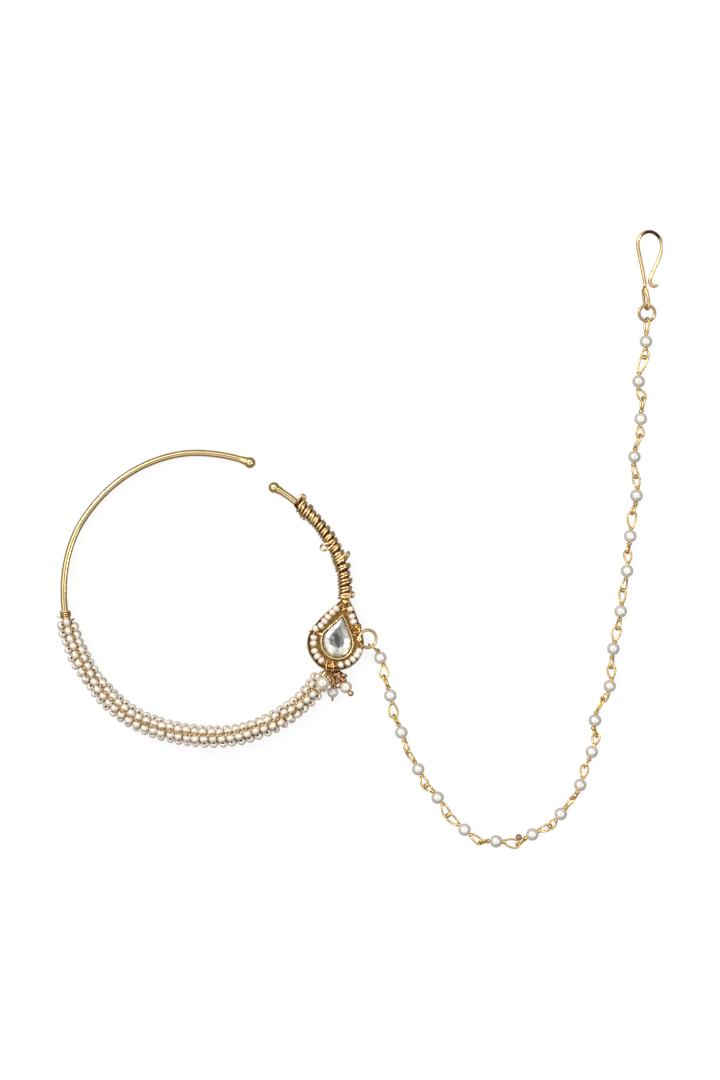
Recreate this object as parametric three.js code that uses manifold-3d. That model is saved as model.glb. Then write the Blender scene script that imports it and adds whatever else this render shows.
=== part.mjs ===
// A bridal nose ring, a nath. A gilt wire hoop carries a sleeve of seed beads, a
// wire-wrapped stretch and a drop-shaped setting, and a chain of drilled pearls
// runs from the setting to a hook that holds the weight in the hair.
// It lies face up on a flat surface. +Z is up, +X runs towards the chain.
// Sizes are millimetres and angles are degrees, counterclockwise from +X.

import * as THREE from 'three';
import { mergeVertices } from 'three/addons/utils/BufferGeometryUtils.js';
import Module from 'manifold-3d';

const wasm = await Module();
wasm.setup();

// Clearances
const linkGap = 0.17; // between two wires hooked into each other
const boreGap = 0.08; // between a wire and the bead drilled for it
const seatGap = 0.1; // between a stone or pearl and the metal that holds it
const wrapGap = 0.2; // between the hoop and what is wound round it

// Hoop
const hoopRadius = 26.8;
const hoopWire = 1.24;
const endBall = 2.1;
const endBallNeck = 2.2; // length of the flare that joins a ball to the wire
// Half of a ball and its flare, in turns up from its widest line.
const endBallTurns = [-40, -5, 30, 62];
const leftEndAngle = 70.8;
const rightEndAngle = 416.6;
// Where the bent wire departs from a circle: radius as a share of hoopRadius.
const hoopShape = [
  { angle: 70.8, radius: 0.979 },
  { angle: 85, radius: 0.987 },
  { angle: 100, radius: 1 },
  { angle: 140, radius: 1.001 },
  { angle: 155, radius: 1.006 },
  { angle: 180, radius: 0.997 },
  { angle: 215, radius: 0.996 },
  { angle: 240, radius: 1.014 },
  { angle: 260, radius: 1.008 },
  { angle: 290, radius: 1.034 },
  { angle: 325, radius: 1.03 },
  { angle: 350, radius: 0.998 },
  { angle: 370, radius: 0.995 },
  { angle: 388, radius: 0.955 },
  { angle: 400, radius: 0.922 },
  { angle: 416.6, radius: 0.896 },
];

// Sleeve of seed beads and the wire that binds its start
const sleeveDiameter = 4.4;
const sleeveFromAngle = 190.5;
const sleeveShort = 9.62; // along the hoop, from the sleeve's end to the middle of the setting
const seedBead = 1.6; // length that one row of beads takes up along the hoop
const seedValley = 0.24; // depth of the groove between two rows
const bindingLength = 1.64;
const bindingWire = 0.38;
const bindingTurns = 3;

// Wire-wrapped stretch
const coilDiameter = 2.78;
const coilWire = 0.4;
const coilPitch = 1.02;
const coilShort = 7.41; // along the hoop, from the middle of the setting to the coil
const coilEndShort = 6.22; // along the hoop, from the coil to the middle of the end ball

// Drop-shaped setting, in the plane of the hoop
const settingAngle = 342.56;
const settingInward = 0.9; // from the middle of the hoop's wire
const settingWidth = 10.75;
const settingLength = 13.7;
const settingFloor = 0.45;
const rimHeight = 0.9;
const rimWall = 0.34;
const solderDepth = 0.35; // how far the hoop wire sinks into the setting's back
// Outline, as shares of width and length from the centre, from the tip leftwards.
const settingOutline = [
  { across: 0.128, along: 0.5 },
  { across: 0.017, along: 0.414 },
  { across: -0.16, along: 0.303 },
  { across: -0.363, along: 0.136 },
  { across: -0.478, along: -0.017 },
  { across: -0.5, along: -0.162 },
  { across: -0.442, along: -0.301 },
  { across: -0.301, along: -0.44 },
  { across: -0.125, along: -0.5 },
  { across: 0.087, along: -0.5 },
  { across: 0.264, along: -0.454 },
  { across: 0.414, along: -0.35 },
  { across: 0.494, along: -0.211 },
  { across: 0.499, along: -0.072 },
  { across: 0.45, along: 0.08 },
  { across: 0.37, along: 0.268 },
  { across: 0.3, along: 0.393 },
  { across: 0.232, along: 0.5 },
];

// Stone in its raised bezel, and the channel between the bezel and the rim
const channelSide = 1.85;
const channelEnd = 2.21;
const bezelHeight = 1.5;
const bezelWall = 0.34;
const bezelShiftX = 0.32; // from the middle of the setting
const bezelShiftY = -0.54;
const stoneHeight = 1.55;
const bezelOutline = [
  { across: 0.169, along: 0.5 },
  { across: 0.008, along: 0.39 },
  { across: -0.231, along: 0.235 },
  { across: -0.425, along: 0.103 },
  { across: -0.494, along: -0.019 },
  { across: -0.5, along: -0.151 },
  { across: -0.446, along: -0.284 },
  { across: -0.336, along: -0.394 },
  { across: -0.157, along: -0.476 },
  { across: 0.082, along: -0.5 },
  { across: 0.291, along: -0.445 },
  { across: 0.44, along: -0.317 },
  { across: 0.5, along: -0.162 },
  { across: 0.464, along: 0.003 },
  { across: 0.372, along: 0.18 },
  { across: 0.27, along: 0.357 },
];
// The cut, from the foil at the back up to the table.
const stoneCut = [
  { size: 0.86, height: 0 },
  { size: 1, height: 0.42 },
  { size: 1, height: 0.52 },
  { size: 0.82, height: 0.82 },
  { size: 0.52, height: 1 },
];

// Pearls round the stone, strung in the channel
const borderLength = 1.2; // across the channel
const borderWidth = 1.1; // along the channel
const borderWire = 0.28;
const borderInset = 0.14; // extra room at the rim, where the outline turns
const borderShoulder = 0.6; // where an oval pearl turns in, as a share of its half length
// Each run of pearls, by its first and last pearl as shares of the channel's length.
const borderRuns = [
  { count: 6, first: 0.043, last: 0.221 },
  { count: 5, first: 0.274, last: 0.43 },
  { count: 5, first: 0.557, last: 0.7 },
  { count: 3, first: 0.881, last: 0.96 },
];

// Eye on the rim, and the jump rings at the two ends of the chain
const eyeInset = 0.845; // from the setting's widest place
const eyeShiftY = -0.89; // from the middle of the setting
const eyeWall = 0.22;
const eyeLength = 0.9;
const eyeClearance = 0.2;
const ringWire = 0.5;
const pendantRingDiameter = 3.84;
const pendantRingDip = 17; // how far the ring hangs down from the rim
const hookRingDiameter = 3.5;
const firstLinkTurn = -62; // round the pendant's ring, from its far side

// Small drops below the setting. x is from its middle, y from its lower edge.
const dropWire = 0.34;
const dropLoop = 0.78; // radius of the wire loops that gather the drops
const dropLoopTilts = [20, 110];
const dropHubX = 0.3; // of the gathered loops
const dropHubY = -1.05;
const dropLift = 0.73; // of the hanging drops, above where they would touch the surface
const dropPearls = [
  { name: 'drop_pearl_1', x: -2.42, y: -2.4, diameter: 2.48, pinTurn: 249, pinRise: 0, pinBall: 0.76 },
  { name: 'drop_pearl_2', x: -0.52, y: -4.2, diameter: 2.08, pinTurn: 268, pinRise: 0, pinBall: 0.5 },
  { name: 'drop_pearl_3', x: 1.95, y: -3.2, diameter: 2.38, pinTurn: 309, pinRise: 32, pinBall: 1.1 },
];

// Chain
const chainPearl = 2.4;
const chainWire = 0.38;
const chainNeck = 0.4; // bare wire between a pearl and its eye
const chainEye = 1.52; // widest part of an eye, between centres of wire
const lastJointHeight = 1;
// Pearl by pearl, then the joint after it, from the eye on the setting's rim. A roll
// is how far an eye is turned up from lying flat: rollOut for this pearl's eye,
// rollIn for the next pearl's.
const chainRoute = [
  { x: 4, y: -3.6, jointX: 4.7, jointY: -7.2, rollOut: 0, rollIn: 75 },
  { x: 5.9, y: -10.8, jointX: 6.6, jointY: -14.7, rollOut: 0, rollIn: 75 },
  { x: 8, y: -17.8, jointX: 9.2, jointY: -21.5, rollOut: 60, rollIn: -60 },
  { x: 11.2, y: -24.8, jointX: 12.6, jointY: -28, rollOut: 35, rollIn: -50 },
  { x: 14.9, y: -30.2, jointX: 16.8, jointY: -33.6, rollOut: 35, rollIn: -35 },
  { x: 20, y: -36.3, jointX: 23, jointY: -38.7, rollOut: 45, rollIn: -70 },
  { x: 26, y: -38.5, jointX: 30.1, jointY: -39.1, rollOut: 0, rollIn: -66 },
  { x: 32.9, y: -37.2, jointX: 36.3, jointY: -35.7, rollOut: 50, rollIn: -35 },
  { x: 38.3, y: -33.3, jointX: 40.6, jointY: -30.3, rollOut: 65, rollIn: -60 },
  { x: 42, y: -27.8, jointX: 42.9, jointY: -24.3, rollOut: 30, rollIn: -85 },
  { x: 44.2, y: -21.5, jointX: 45.1, jointY: -18.4, rollOut: 35, rollIn: -70 },
  { x: 44.8, y: -15.5, jointX: 46.4, jointY: -11.5, rollOut: 80, rollIn: -40 },
  { x: 47.6, y: -9, jointX: 47.9, jointY: -5.4, rollOut: 25, rollIn: -60 },
  { x: 48.3, y: -1.9, jointX: 49.1, jointY: 2, rollOut: 5, rollIn: 65 },
  { x: 49.7, y: 5.2, jointX: 50.1, jointY: 9.2, rollOut: 45, rollIn: -50 },
  { x: 50.9, y: 12.9, jointX: 51, jointY: 16.5, rollOut: 35, rollIn: -70 },
  { x: 51.5, y: 19.5, jointX: 51.9, jointY: 23.9, rollOut: 0, rollIn: 75 },
  { x: 52.7, y: 27.2, jointX: 52.6, jointY: 30.8, rollOut: 40, rollIn: -50 },
  { x: 52.3, y: 34.6, jointX: 53.4, jointY: 38.6, rollOut: 70, rollIn: -25 },
  { x: 53.5, y: 41.8, jointX: 54, jointY: 45.7, rollOut: 70, rollIn: -25 },
  { x: 53.1, y: 48.9, jointX: 54.3, jointY: 53.5, rollOut: 35, rollIn: -30 },
  { x: 54.5, y: 56.5, jointX: 54.7, jointY: 60.4, rollOut: 60, rollIn: 0 },
];
const firstRollIn = 90;

// Hair hook, a bent wire that starts with an eye
const hookWire = 0.57;
const hookEye = 1.5;
const hookEyeLength = 4.5;
const hookEyeRoll = 58;
const hookEyeTurn = 104; // direction from the end of the eye to its neck
const hookSpan = 4.6; // across the crook
const hookRise = 10.4; // from the neck to the top of the crook
// The shank from the neck on, as shares of the span and the rise. lift is its height
// above the surface as a share of the eye's height.
const hookRoute = [
  { across: 0, along: 0, lift: 1 },
  { across: -0.033, along: 0.24, lift: 0.7 },
  { across: -0.152, along: 0.49, lift: 0.35 },
  { across: -0.207, along: 0.692, lift: 0.1 },
  { across: -0.185, along: 0.846, lift: 0 },
  { across: -0.043, along: 0.957, lift: 0 },
  { across: 0.217, along: 1, lift: 0 },
  { across: 0.543, along: 0.966, lift: 0 },
  { across: 0.739, along: 0.856, lift: 0 },
  { across: 0.793, along: 0.707, lift: 0 },
  { across: 0.685, along: 0.538, lift: 0 },
  { across: 0.5, along: 0.37, lift: 0 },
  { across: 0.38, along: 0.24, lift: 0 },
  { across: 0.33, along: 0.115, lift: 0 },
  { across: 0.352, along: 0.014, lift: 0.1 },
  { across: 0.446, along: -0.029, lift: 0.15 },
  { across: 0.565, along: -0.014, lift: 0.2 },
];

// Facets
const mergeDistance = 1e-4;
const hoopSides = 8;
const hoopSteps = 46;
const wireSides = 5;
const roundSides = 12;
const smallRoundSides = 10;
const sleeveBoreSteps = 15;
const dropBallBands = 4;
const outlineSteps = 1; // spline steps for each point of an outline
const eyeSteps = 8;
const beadBands = 4;
const coilStepsPerTurn = 8;
const hookSteps = 28;

const up = new THREE.Vector3(0, 0, 1);
const sleeveRadius = sleeveDiameter / 2;
const coilRadius = (coilDiameter - coilWire) / 2; // to the middle of the wire

const gilt = new THREE.MeshStandardMaterial({ color: 0xc9a05a, metalness: 1, roughness: 0.3 });
const antiqueGilt = new THREE.MeshStandardMaterial({ color: 0x9a6a2c, metalness: 1, roughness: 0.42 });
const pearlWhite = new THREE.MeshStandardMaterial({ color: 0xe6e2da, metalness: 0.1, roughness: 0.22 });
const seedWhite = new THREE.MeshStandardMaterial({ color: 0xf1e8da, metalness: 0, roughness: 0.3 });
const stoneGrey = new THREE.MeshStandardMaterial({ color: 0xc4c6c2, metalness: 0.2, roughness: 0.08 });

// Solids

function toSolid(geometry) {
  const bare = geometry.clone();
  bare.deleteAttribute('normal');
  bare.deleteAttribute('uv');
  const merged = mergeVertices(bare, mergeDistance);
  const mesh = new wasm.Mesh({
    numProp: 3,
    vertProperties: merged.attributes.position.array,
    triVerts: new Uint32Array(merged.index.array),
  });
  return new wasm.Manifold(mesh);
}

function toGeometry(solid) {
  const mesh = solid.getMesh();
  const geometry = new THREE.BufferGeometry();
  geometry.setAttribute('position', new THREE.BufferAttribute(mesh.vertProperties, 3));
  geometry.setIndex(new THREE.BufferAttribute(mesh.triVerts, 1));
  geometry.computeVertexNormals();
  return geometry;
}

function joined(geometries) {
  return toGeometry(geometries.map(toSolid).reduce((all, solid) => all.add(solid)));
}

// Wires

// A curve through given corners, whose equal steps land on the corners.
class BentWire extends THREE.Curve {
  constructor(corners) {
    super();
    this.corners = corners;
  }

  getPoint(t, target = new THREE.Vector3()) {
    const last = this.corners.length - 1;
    const place = THREE.MathUtils.clamp(t * last, 0, last);
    const index = Math.min(Math.floor(place), last - 1);
    return target.lerpVectors(this.corners[index], this.corners[index + 1], place - index);
  }

  getUtoTmapping(u) {
    return u;
  }
}

function roundSection(diameter, sides) {
  const corners = [];
  for (let side = 0; side < sides; side += 1) {
    const turn = (side / sides) * 2 * Math.PI;
    corners.push(new THREE.Vector2(Math.cos(turn), Math.sin(turn)).multiplyScalar(diameter / 2));
  }
  return new THREE.Shape(corners);
}

function tube(curve, diameter, sides, steps) {
  const section = roundSection(diameter, sides);
  return new THREE.ExtrudeGeometry(section, { steps, bevelEnabled: false, extrudePath: curve });
}

function bentTube(corners, diameter, sides) {
  return tube(new BentWire(corners), diameter, sides, corners.length - 1);
}

// The centreline of an eye. It starts beside the neck, runs round the far end and
// comes back to the neck, so that the wire never runs through itself.
function eyeCorners({ neck, end, roll, width, wire }) {
  const along = end.clone().sub(neck);
  const length = along.length();
  along.normalize();
  const flat = new THREE.Vector3().crossVectors(along, up).normalize();
  const side = flat.applyAxisAngle(along, THREE.MathUtils.degToRad(roll));
  const radius = Math.min(width / 2, length * 0.45);
  const centre = end.clone().addScaledVector(along, -radius);
  const leave = Math.acos(radius / (length - radius));
  const corners = [neck.clone().addScaledVector(side, wire + linkGap)];
  for (let step = 0; step <= eyeSteps; step += 1) {
    const turn = leave + (2 * (Math.PI - leave) * step) / eyeSteps;
    const corner = centre.clone().addScaledVector(along, -radius * Math.cos(turn));
    corners.push(corner.addScaledVector(side, radius * Math.sin(turn)));
  }
  corners.push(neck.clone());
  return corners;
}

// Beads

// A round bead drilled along Y.
function drilledBead(diameter, bore) {
  const radius = diameter / 2;
  const rim = Math.acos(bore / 2 / radius);
  const profile = [];
  for (let band = 0; band <= beadBands; band += 1) {
    const turn = -rim + (2 * rim * band) / beadBands;
    profile.push(new THREE.Vector2(radius * Math.cos(turn), radius * Math.sin(turn)));
  }
  profile.push(profile[0].clone());
  return new THREE.LatheGeometry(profile, roundSides);
}

function mesh(name, geometry, material) {
  const piece = new THREE.Mesh(geometry, material);
  piece.name = name;
  return piece;
}

// Hoop

const hoopTrack = new THREE.CubicInterpolant(
  hoopShape.map((row) => row.angle),
  hoopShape.map((row) => row.radius),
  1,
);

function hoopPoint(angle) {
  const inside = THREE.MathUtils.clamp(angle, leftEndAngle, rightEndAngle);
  const radius = hoopRadius * hoopTrack.evaluate(inside)[0];
  const turn = THREE.MathUtils.degToRad(inside);
  return new THREE.Vector3(radius * Math.cos(turn), radius * Math.sin(turn), 0);
}

// The direction of the wire towards larger angles.
function hoopDirection(angle) {
  const step = 0.5;
  return hoopPoint(angle + step).sub(hoopPoint(angle - step)).normalize();
}

// The angle that a length along the wire takes up.
function hoopTurn(length) {
  return THREE.MathUtils.radToDeg(length / hoopRadius);
}

const sleeveToAngle = settingAngle - hoopTurn(sleeveShort);
const bindingFromAngle = sleeveFromAngle - hoopTurn(bindingLength);
const coilFromAngle = settingAngle + hoopTurn(coilShort);
const coilToAngle = rightEndAngle - hoopTurn(coilEndShort);

class HoopArc extends THREE.Curve {
  constructor(fromAngle, toAngle) {
    super();
    this.fromAngle = fromAngle;
    this.toAngle = toAngle;
  }

  angleAt(t) {
    return THREE.MathUtils.lerp(this.fromAngle, this.toAngle, t);
  }

  getPoint(t, target = new THREE.Vector3()) {
    return target.copy(hoopPoint(this.angleAt(t)));
  }
}

// A wire wound round the hoop.
class Winding extends HoopArc {
  constructor(fromAngle, toAngle, turns, radius) {
    super(fromAngle, toAngle);
    this.turns = turns;
    this.radius = radius;
  }

  getPoint(t, target = new THREE.Vector3()) {
    const angle = this.angleAt(t);
    const outward = hoopDirection(angle).cross(up);
    const turn = 2 * Math.PI * this.turns * t;
    target.copy(hoopPoint(angle));
    target.addScaledVector(outward, this.radius * Math.cos(turn));
    return target.addScaledVector(up, this.radius * Math.sin(turn));
  }

  getUtoTmapping(u) {
    return u;
  }
}

// A wound wire keeps to the thickness of the stretch that it fills.
function winding(fromAngle, toAngle, pitch, radius, wire) {
  const length = new HoopArc(fromAngle, toAngle).getLength();
  const turns = Math.max(1, Math.round(length / pitch));
  const curve = new Winding(fromAngle, toAngle, turns, radius);
  return tube(curve, wire, wireSides, turns * coilStepsPerTurn);
}

// Bends a lathe shape that stands on Y round the hoop, from one angle to another.
function bentRoundHoop(geometry, length, fromAngle, toAngle) {
  const places = geometry.attributes.position;
  for (let index = 0; index < places.count; index += 1) {
    const angle = THREE.MathUtils.lerp(fromAngle, toAngle, places.getY(index) / length);
    const outward = hoopDirection(angle).cross(up);
    const place = hoopPoint(angle).addScaledVector(outward, places.getX(index));
    place.addScaledVector(up, places.getZ(index));
    places.setXYZ(index, place.x, place.y, place.z);
  }
  geometry.deleteAttribute('normal');
  return geometry;
}

// A thick sleeve with one ridge for each row of beads and an open bore.
function beadSleeve() {
  const length = new HoopArc(sleeveFromAngle, sleeveToAngle).getLength();
  const rows = Math.max(4, Math.round(length / seedBead));
  const row = length / rows;
  const boreRadius = hoopWire / 2 + wrapGap;
  const profile = [];
  for (let step = 0; step <= sleeveBoreSteps; step += 1) {
    profile.push(new THREE.Vector2(boreRadius, (length * step) / sleeveBoreSteps));
  }
  const valleyRadius = sleeveRadius - seedValley;
  profile.push(new THREE.Vector2(valleyRadius - seedValley, length));
  for (let bead = rows - 1; bead >= 0; bead -= 1) {
    profile.push(new THREE.Vector2(sleeveRadius, (bead + 0.5) * row));
    if (bead > 0) profile.push(new THREE.Vector2(valleyRadius, bead * row));
  }
  profile.push(new THREE.Vector2(valleyRadius - seedValley, 0));
  profile.push(profile[0].clone());
  profile.reverse();
  return bentRoundHoop(new THREE.LatheGeometry(profile, smallRoundSides), length, sleeveFromAngle, sleeveToAngle);
}

// A ball with the flare that it was soldered on with, pointing along +Y.
function ballEnd() {
  const radius = endBall / 2;
  const wireRadius = hoopWire / 2;
  const profile = [new THREE.Vector2(0, -endBallNeck)];
  profile.push(new THREE.Vector2(wireRadius * 1.04, -endBallNeck));
  profile.push(new THREE.Vector2(wireRadius * 1.25, -radius));
  for (const turn of endBallTurns) {
    const lean = THREE.MathUtils.degToRad(turn);
    profile.push(new THREE.Vector2(radius * Math.cos(lean), radius * Math.sin(lean)));
  }
  profile.push(new THREE.Vector2(0, radius));
  return new THREE.LatheGeometry(profile, smallRoundSides);
}

function placedBall(angle, outwardSign) {
  const direction = hoopDirection(angle).multiplyScalar(outwardSign);
  const turn = new THREE.Quaternion().setFromUnitVectors(new THREE.Vector3(0, 1, 0), direction);
  const place = new THREE.Matrix4().compose(hoopPoint(angle), turn, new THREE.Vector3(1, 1, 1));
  return ballEnd().applyMatrix4(place);
}

// Setting

const settingPlace = hoopPoint(settingAngle);
settingPlace.setLength(settingPlace.length() - settingInward);
const settingX = settingPlace.x;
const settingY = settingPlace.y;
const settingBase = hoopWire / 2 - solderDepth;
const settingTop = settingBase + settingFloor;
const rimTop = settingBase + rimHeight;

function outlineShape(outline, width, length, centreX, centreY) {
  const corners = outline.map(
    (row) => new THREE.Vector2(centreX + row.across * width, centreY + row.along * length),
  );
  const shape = new THREE.Shape();
  shape.moveTo(corners[0].x, corners[0].y);
  shape.splineThru(corners.slice(1));
  return shape;
}

function raised(shape, fromHeight, toHeight) {
  const depth = toHeight - fromHeight;
  const options = { depth, bevelEnabled: false, curveSegments: outlineSteps };
  return toSolid(new THREE.ExtrudeGeometry(shape, options).translate(0, 0, fromHeight));
}

function settingShape(inset) {
  const width = settingWidth - 2 * inset;
  return outlineShape(settingOutline, width, settingLength - 2 * inset, settingX, settingY);
}

const bezelWidth = settingWidth - 2 * (rimWall + channelSide);
const bezelLength = settingLength - 2 * (rimWall + channelEnd);
const bezelX = settingX + bezelShiftX;
const bezelY = settingY + bezelShiftY;

function bezelShape(inset) {
  return outlineShape(bezelOutline, bezelWidth - 2 * inset, bezelLength - 2 * inset, bezelX, bezelY);
}

const eyeBore = ringWire + 2 * eyeClearance;
const eyeCentre = new THREE.Vector3(
  settingX + settingWidth / 2 - eyeInset,
  settingY + eyeShiftY,
  rimTop + eyeBore / 2 + eyeWall / 2,
);

// A short tube along Y, soldered on the rim.
function rimEye() {
  const inner = eyeBore / 2;
  const outer = inner + eyeWall;
  const half = eyeLength / 2;
  const profile = [
    new THREE.Vector2(inner, -half),
    new THREE.Vector2(outer, -half),
    new THREE.Vector2(outer, half),
    new THREE.Vector2(inner, half),
    new THREE.Vector2(inner, -half),
  ];
  return new THREE.LatheGeometry(profile, smallRoundSides).translate(eyeCentre.x, eyeCentre.y, eyeCentre.z);
}

// The block of solder that carries the eye from the floor beside the rim.
function eyeFoot() {
  const height = eyeCentre.z - eyeBore / 2 - eyeWall / 2 - settingTop + eyeWall;
  const width = eyeBore / 2 + eyeWall;
  const foot = new THREE.BoxGeometry(width, eyeLength, height);
  return foot.translate(eyeCentre.x + width / 2, eyeCentre.y, settingTop + height / 2 - eyeWall / 2);
}

function hoopAndSetting() {
  const wire = toSolid(tube(new HoopArc(leftEndAngle, rightEndAngle), hoopWire, hoopSides, hoopSteps));
  const plate = raised(settingShape(0), settingBase, rimTop);
  const channel = raised(settingShape(rimWall), settingTop, rimTop + rimHeight);
  const bezel = raised(bezelShape(0), settingTop - settingFloor / 2, settingTop + bezelHeight);
  const seat = raised(bezelShape(bezelWall), settingTop, settingTop + 2 * bezelHeight);
  const setting = plate.subtract(channel).add(bezel).subtract(seat);
  const balls = toSolid(placedBall(leftEndAngle, -1)).add(toSolid(placedBall(rightEndAngle, 1)));
  const eye = toSolid(rimEye()).add(toSolid(eyeFoot()));
  return toGeometry(setting.add(wire).add(balls).add(eye));
}

// Stone

// Rings of equal counts joined into one closed surface with flat ends.
function loft(rings) {
  const count = rings[0].length;
  const places = rings.flat().flatMap((corner) => [corner.x, corner.y, corner.z]);
  const faces = [];
  for (let level = 0; level < rings.length - 1; level += 1) {
    for (let corner = 0; corner < count; corner += 1) {
      const next = (corner + 1) % count;
      const low = level * count;
      const high = low + count;
      faces.push(low + corner, low + next, high + next);
      faces.push(low + corner, high + next, high + corner);
    }
  }
  const top = (rings.length - 1) * count;
  for (let corner = 1; corner < count - 1; corner += 1) {
    faces.push(0, corner + 1, corner);
    faces.push(top, top + corner, top + corner + 1);
  }
  const geometry = new THREE.BufferGeometry();
  geometry.setAttribute('position', new THREE.Float32BufferAttribute(places, 3));
  geometry.setIndex(faces);
  geometry.computeVertexNormals();
  return geometry;
}

function dropStone() {
  const base = settingTop + seatGap;
  const inset = bezelWall + seatGap;
  const rings = stoneCut.map((row) => {
    const width = (bezelWidth - 2 * inset) * row.size;
    const length = (bezelLength - 2 * inset) * row.size;
    return bezelOutline.map(
      (corner) =>
        new THREE.Vector3(
          bezelX + corner.across * width,
          bezelY + corner.along * length,
          base + stoneHeight * row.height,
        ),
    );
  });
  return loft(rings);
}

// Pearls round the stone

// One ring of the string: an oval across the channel, upright on the path, at a
// height above the setting's floor.
function stringRing(path, share, across, height, middle = borderWidth / 2) {
  const place = path.getPointAt(share % 1);
  const along = path.getTangentAt(share % 1);
  const centre = new THREE.Vector3(place.x, place.y, settingTop + seatGap + middle);
  const outward = new THREE.Vector3(along.y, -along.x, 0);
  const ring = [];
  for (let side = 0; side < smallRoundSides; side += 1) {
    const turn = (side / smallRoundSides) * 2 * Math.PI;
    const corner = centre.clone().addScaledVector(up, (height / 2) * Math.cos(turn));
    ring.push(corner.addScaledVector(outward, (across / 2) * Math.sin(turn)));
  }
  return ring;
}

// Oval pearls on one thread, closed up in runs. Between the runs the bare thread
// dips to the floor.
function borderPearls() {
  const path = settingShape(rimWall + seatGap + borderInset + borderLength / 2);
  const total = path.getLength();
  const rings = [];
  for (const [index, run] of borderRuns.entries()) {
    const step = (run.last - run.first) / (run.count - 1);
    const half = Math.min(borderWidth / total, step) / 2;
    for (let bead = 0; bead < run.count; bead += 1) {
      const share = run.first + bead * step;
      rings.push(stringRing(path, share - half, borderWire, borderWire));
      for (const part of [-borderShoulder, 0, borderShoulder]) {
        const size = Math.sqrt(1 - part * part);
        rings.push(stringRing(path, share + part * half, borderLength * size, borderWidth * size));
      }
    }
    rings.push(stringRing(path, run.last + half, borderWire, borderWire));
    if (index + 1 === borderRuns.length) break;
    const bare = (run.last + borderRuns[index + 1].first) / 2;
    rings.push(stringRing(path, bare, borderWire, borderWire, borderWire / 2));
  }
  return loft(rings);
}

// Drops below the setting

const settingEdgeY = settingY - settingLength / 2;
const dropHub = new THREE.Vector3(settingX + dropHubX, settingEdgeY + dropHubY, settingBase);

// The first drop lies on the end of the sleeve, the others beside it.
function dropPlace(row, index) {
  const onSleeve = sleeveRadius - seedValley + row.diameter / 2;
  const onSurface = row.diameter / 2 - sleeveRadius + seatGap;
  const height = index === 0 ? onSleeve : onSurface + dropLift;
  return new THREE.Vector3(settingX + row.x, settingEdgeY + row.y, height);
}

function pinDirection(row) {
  const rise = THREE.MathUtils.degToRad(row.pinRise);
  const turn = THREE.MathUtils.degToRad(row.pinTurn);
  return new THREE.Vector3(Math.cos(turn) * Math.cos(rise), Math.sin(turn) * Math.cos(rise), Math.sin(rise));
}

function dropPin(row, index) {
  const direction = pinDirection(row);
  const centre = dropPlace(row, index);
  const reach = row.diameter / 2 + seatGap + row.pinBall / 2;
  const end = centre.clone().addScaledVector(direction, reach);
  const back = centre.clone().addScaledVector(direction, -reach);
  const pin = bentTube([end, back, dropHub], dropWire, wireSides);
  const ball = new THREE.SphereGeometry(row.pinBall / 2, smallRoundSides, dropBallBands);
  return [pin, ball.translate(end.x, end.y, end.z)];
}

function dropWires() {
  const pieces = dropPearls.flatMap(dropPin);
  for (const tilt of dropLoopTilts) {
    const loop = new THREE.TorusGeometry(dropLoop, dropWire / 2, wireSides, smallRoundSides);
    loop.rotateX(THREE.MathUtils.degToRad(tilt)).rotateZ(THREE.MathUtils.degToRad(tilt * 1.5));
    pieces.push(loop.translate(dropHub.x, dropHub.y, dropHub.z));
  }
  return joined(pieces);
}

function dropPearl(row, index) {
  const bead = drilledBead(row.diameter, dropWire + 2 * boreGap);
  const pearl = mesh(row.name, bead, pearlWhite);
  pearl.position.copy(dropPlace(row, index));
  pearl.quaternion.setFromUnitVectors(new THREE.Vector3(0, 1, 0), pinDirection(row));
  return pearl;
}

// The hoop with all that is fixed to it leans a little: it rests on both ends of
// the sleeve and on the far end of the wrapped stretch.

const hoopGroup = new THREE.Group();
const support = (angle, height) => hoopPoint(angle).setZ(height);
const restPlane = new THREE.Plane().setFromCoplanarPoints(
  support(sleeveFromAngle, sleeveRadius),
  support(sleeveToAngle, sleeveRadius),
  support(coilToAngle, coilDiameter / 2),
);
hoopGroup.quaternion.setFromUnitVectors(up, restPlane.normal);
hoopGroup.position.z = -restPlane.constant / restPlane.normal.z;

hoopGroup.add(mesh('hoop_and_setting', hoopAndSetting(), gilt));
hoopGroup.add(mesh('drop_stone', dropStone(), stoneGrey));
hoopGroup.add(mesh('border_pearls', borderPearls(), seedWhite));
hoopGroup.add(mesh('bead_sleeve', beadSleeve(), seedWhite));
const bindingRadius = hoopWire / 2 + wrapGap / 2 + bindingWire / 2;
const bindingEnd = sleeveFromAngle - ((sleeveFromAngle - bindingFromAngle) * bindingWire) / bindingLength;
const binding = winding(bindingFromAngle, bindingEnd, bindingLength / bindingTurns, bindingRadius, bindingWire);
hoopGroup.add(mesh('sleeve_binding', binding, gilt));
const coil = winding(coilFromAngle, coilToAngle, coilPitch, coilRadius, coilWire);
hoopGroup.add(mesh('wrap_coil', coil, antiqueGilt));
hoopGroup.add(mesh('drop_wires', dropWires(), antiqueGilt));
dropPearls.forEach((row, index) => hoopGroup.add(dropPearl(row, index)));

// Jump rings

function jumpRing(name, diameter) {
  const geometry = new THREE.TorusGeometry((diameter - ringWire) / 2, ringWire / 2, wireSides, roundSides);
  return mesh(name, geometry, gilt);
}

hoopGroup.updateMatrixWorld(true);
const pendantRingRadius = (pendantRingDiameter - ringWire) / 2;
const dip = THREE.MathUtils.degToRad(pendantRingDip);
const pendantRing = jumpRing('pendant_jump_ring', pendantRingDiameter);
const ringOut = new THREE.Vector3(Math.cos(dip), 0, -Math.sin(dip));
const pendantRingCentre = hoopGroup.localToWorld(eyeCentre.clone()).addScaledVector(ringOut, pendantRingRadius);
pendantRing.position.copy(pendantRingCentre);
pendantRing.rotation.y = dip;

// Chain

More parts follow.
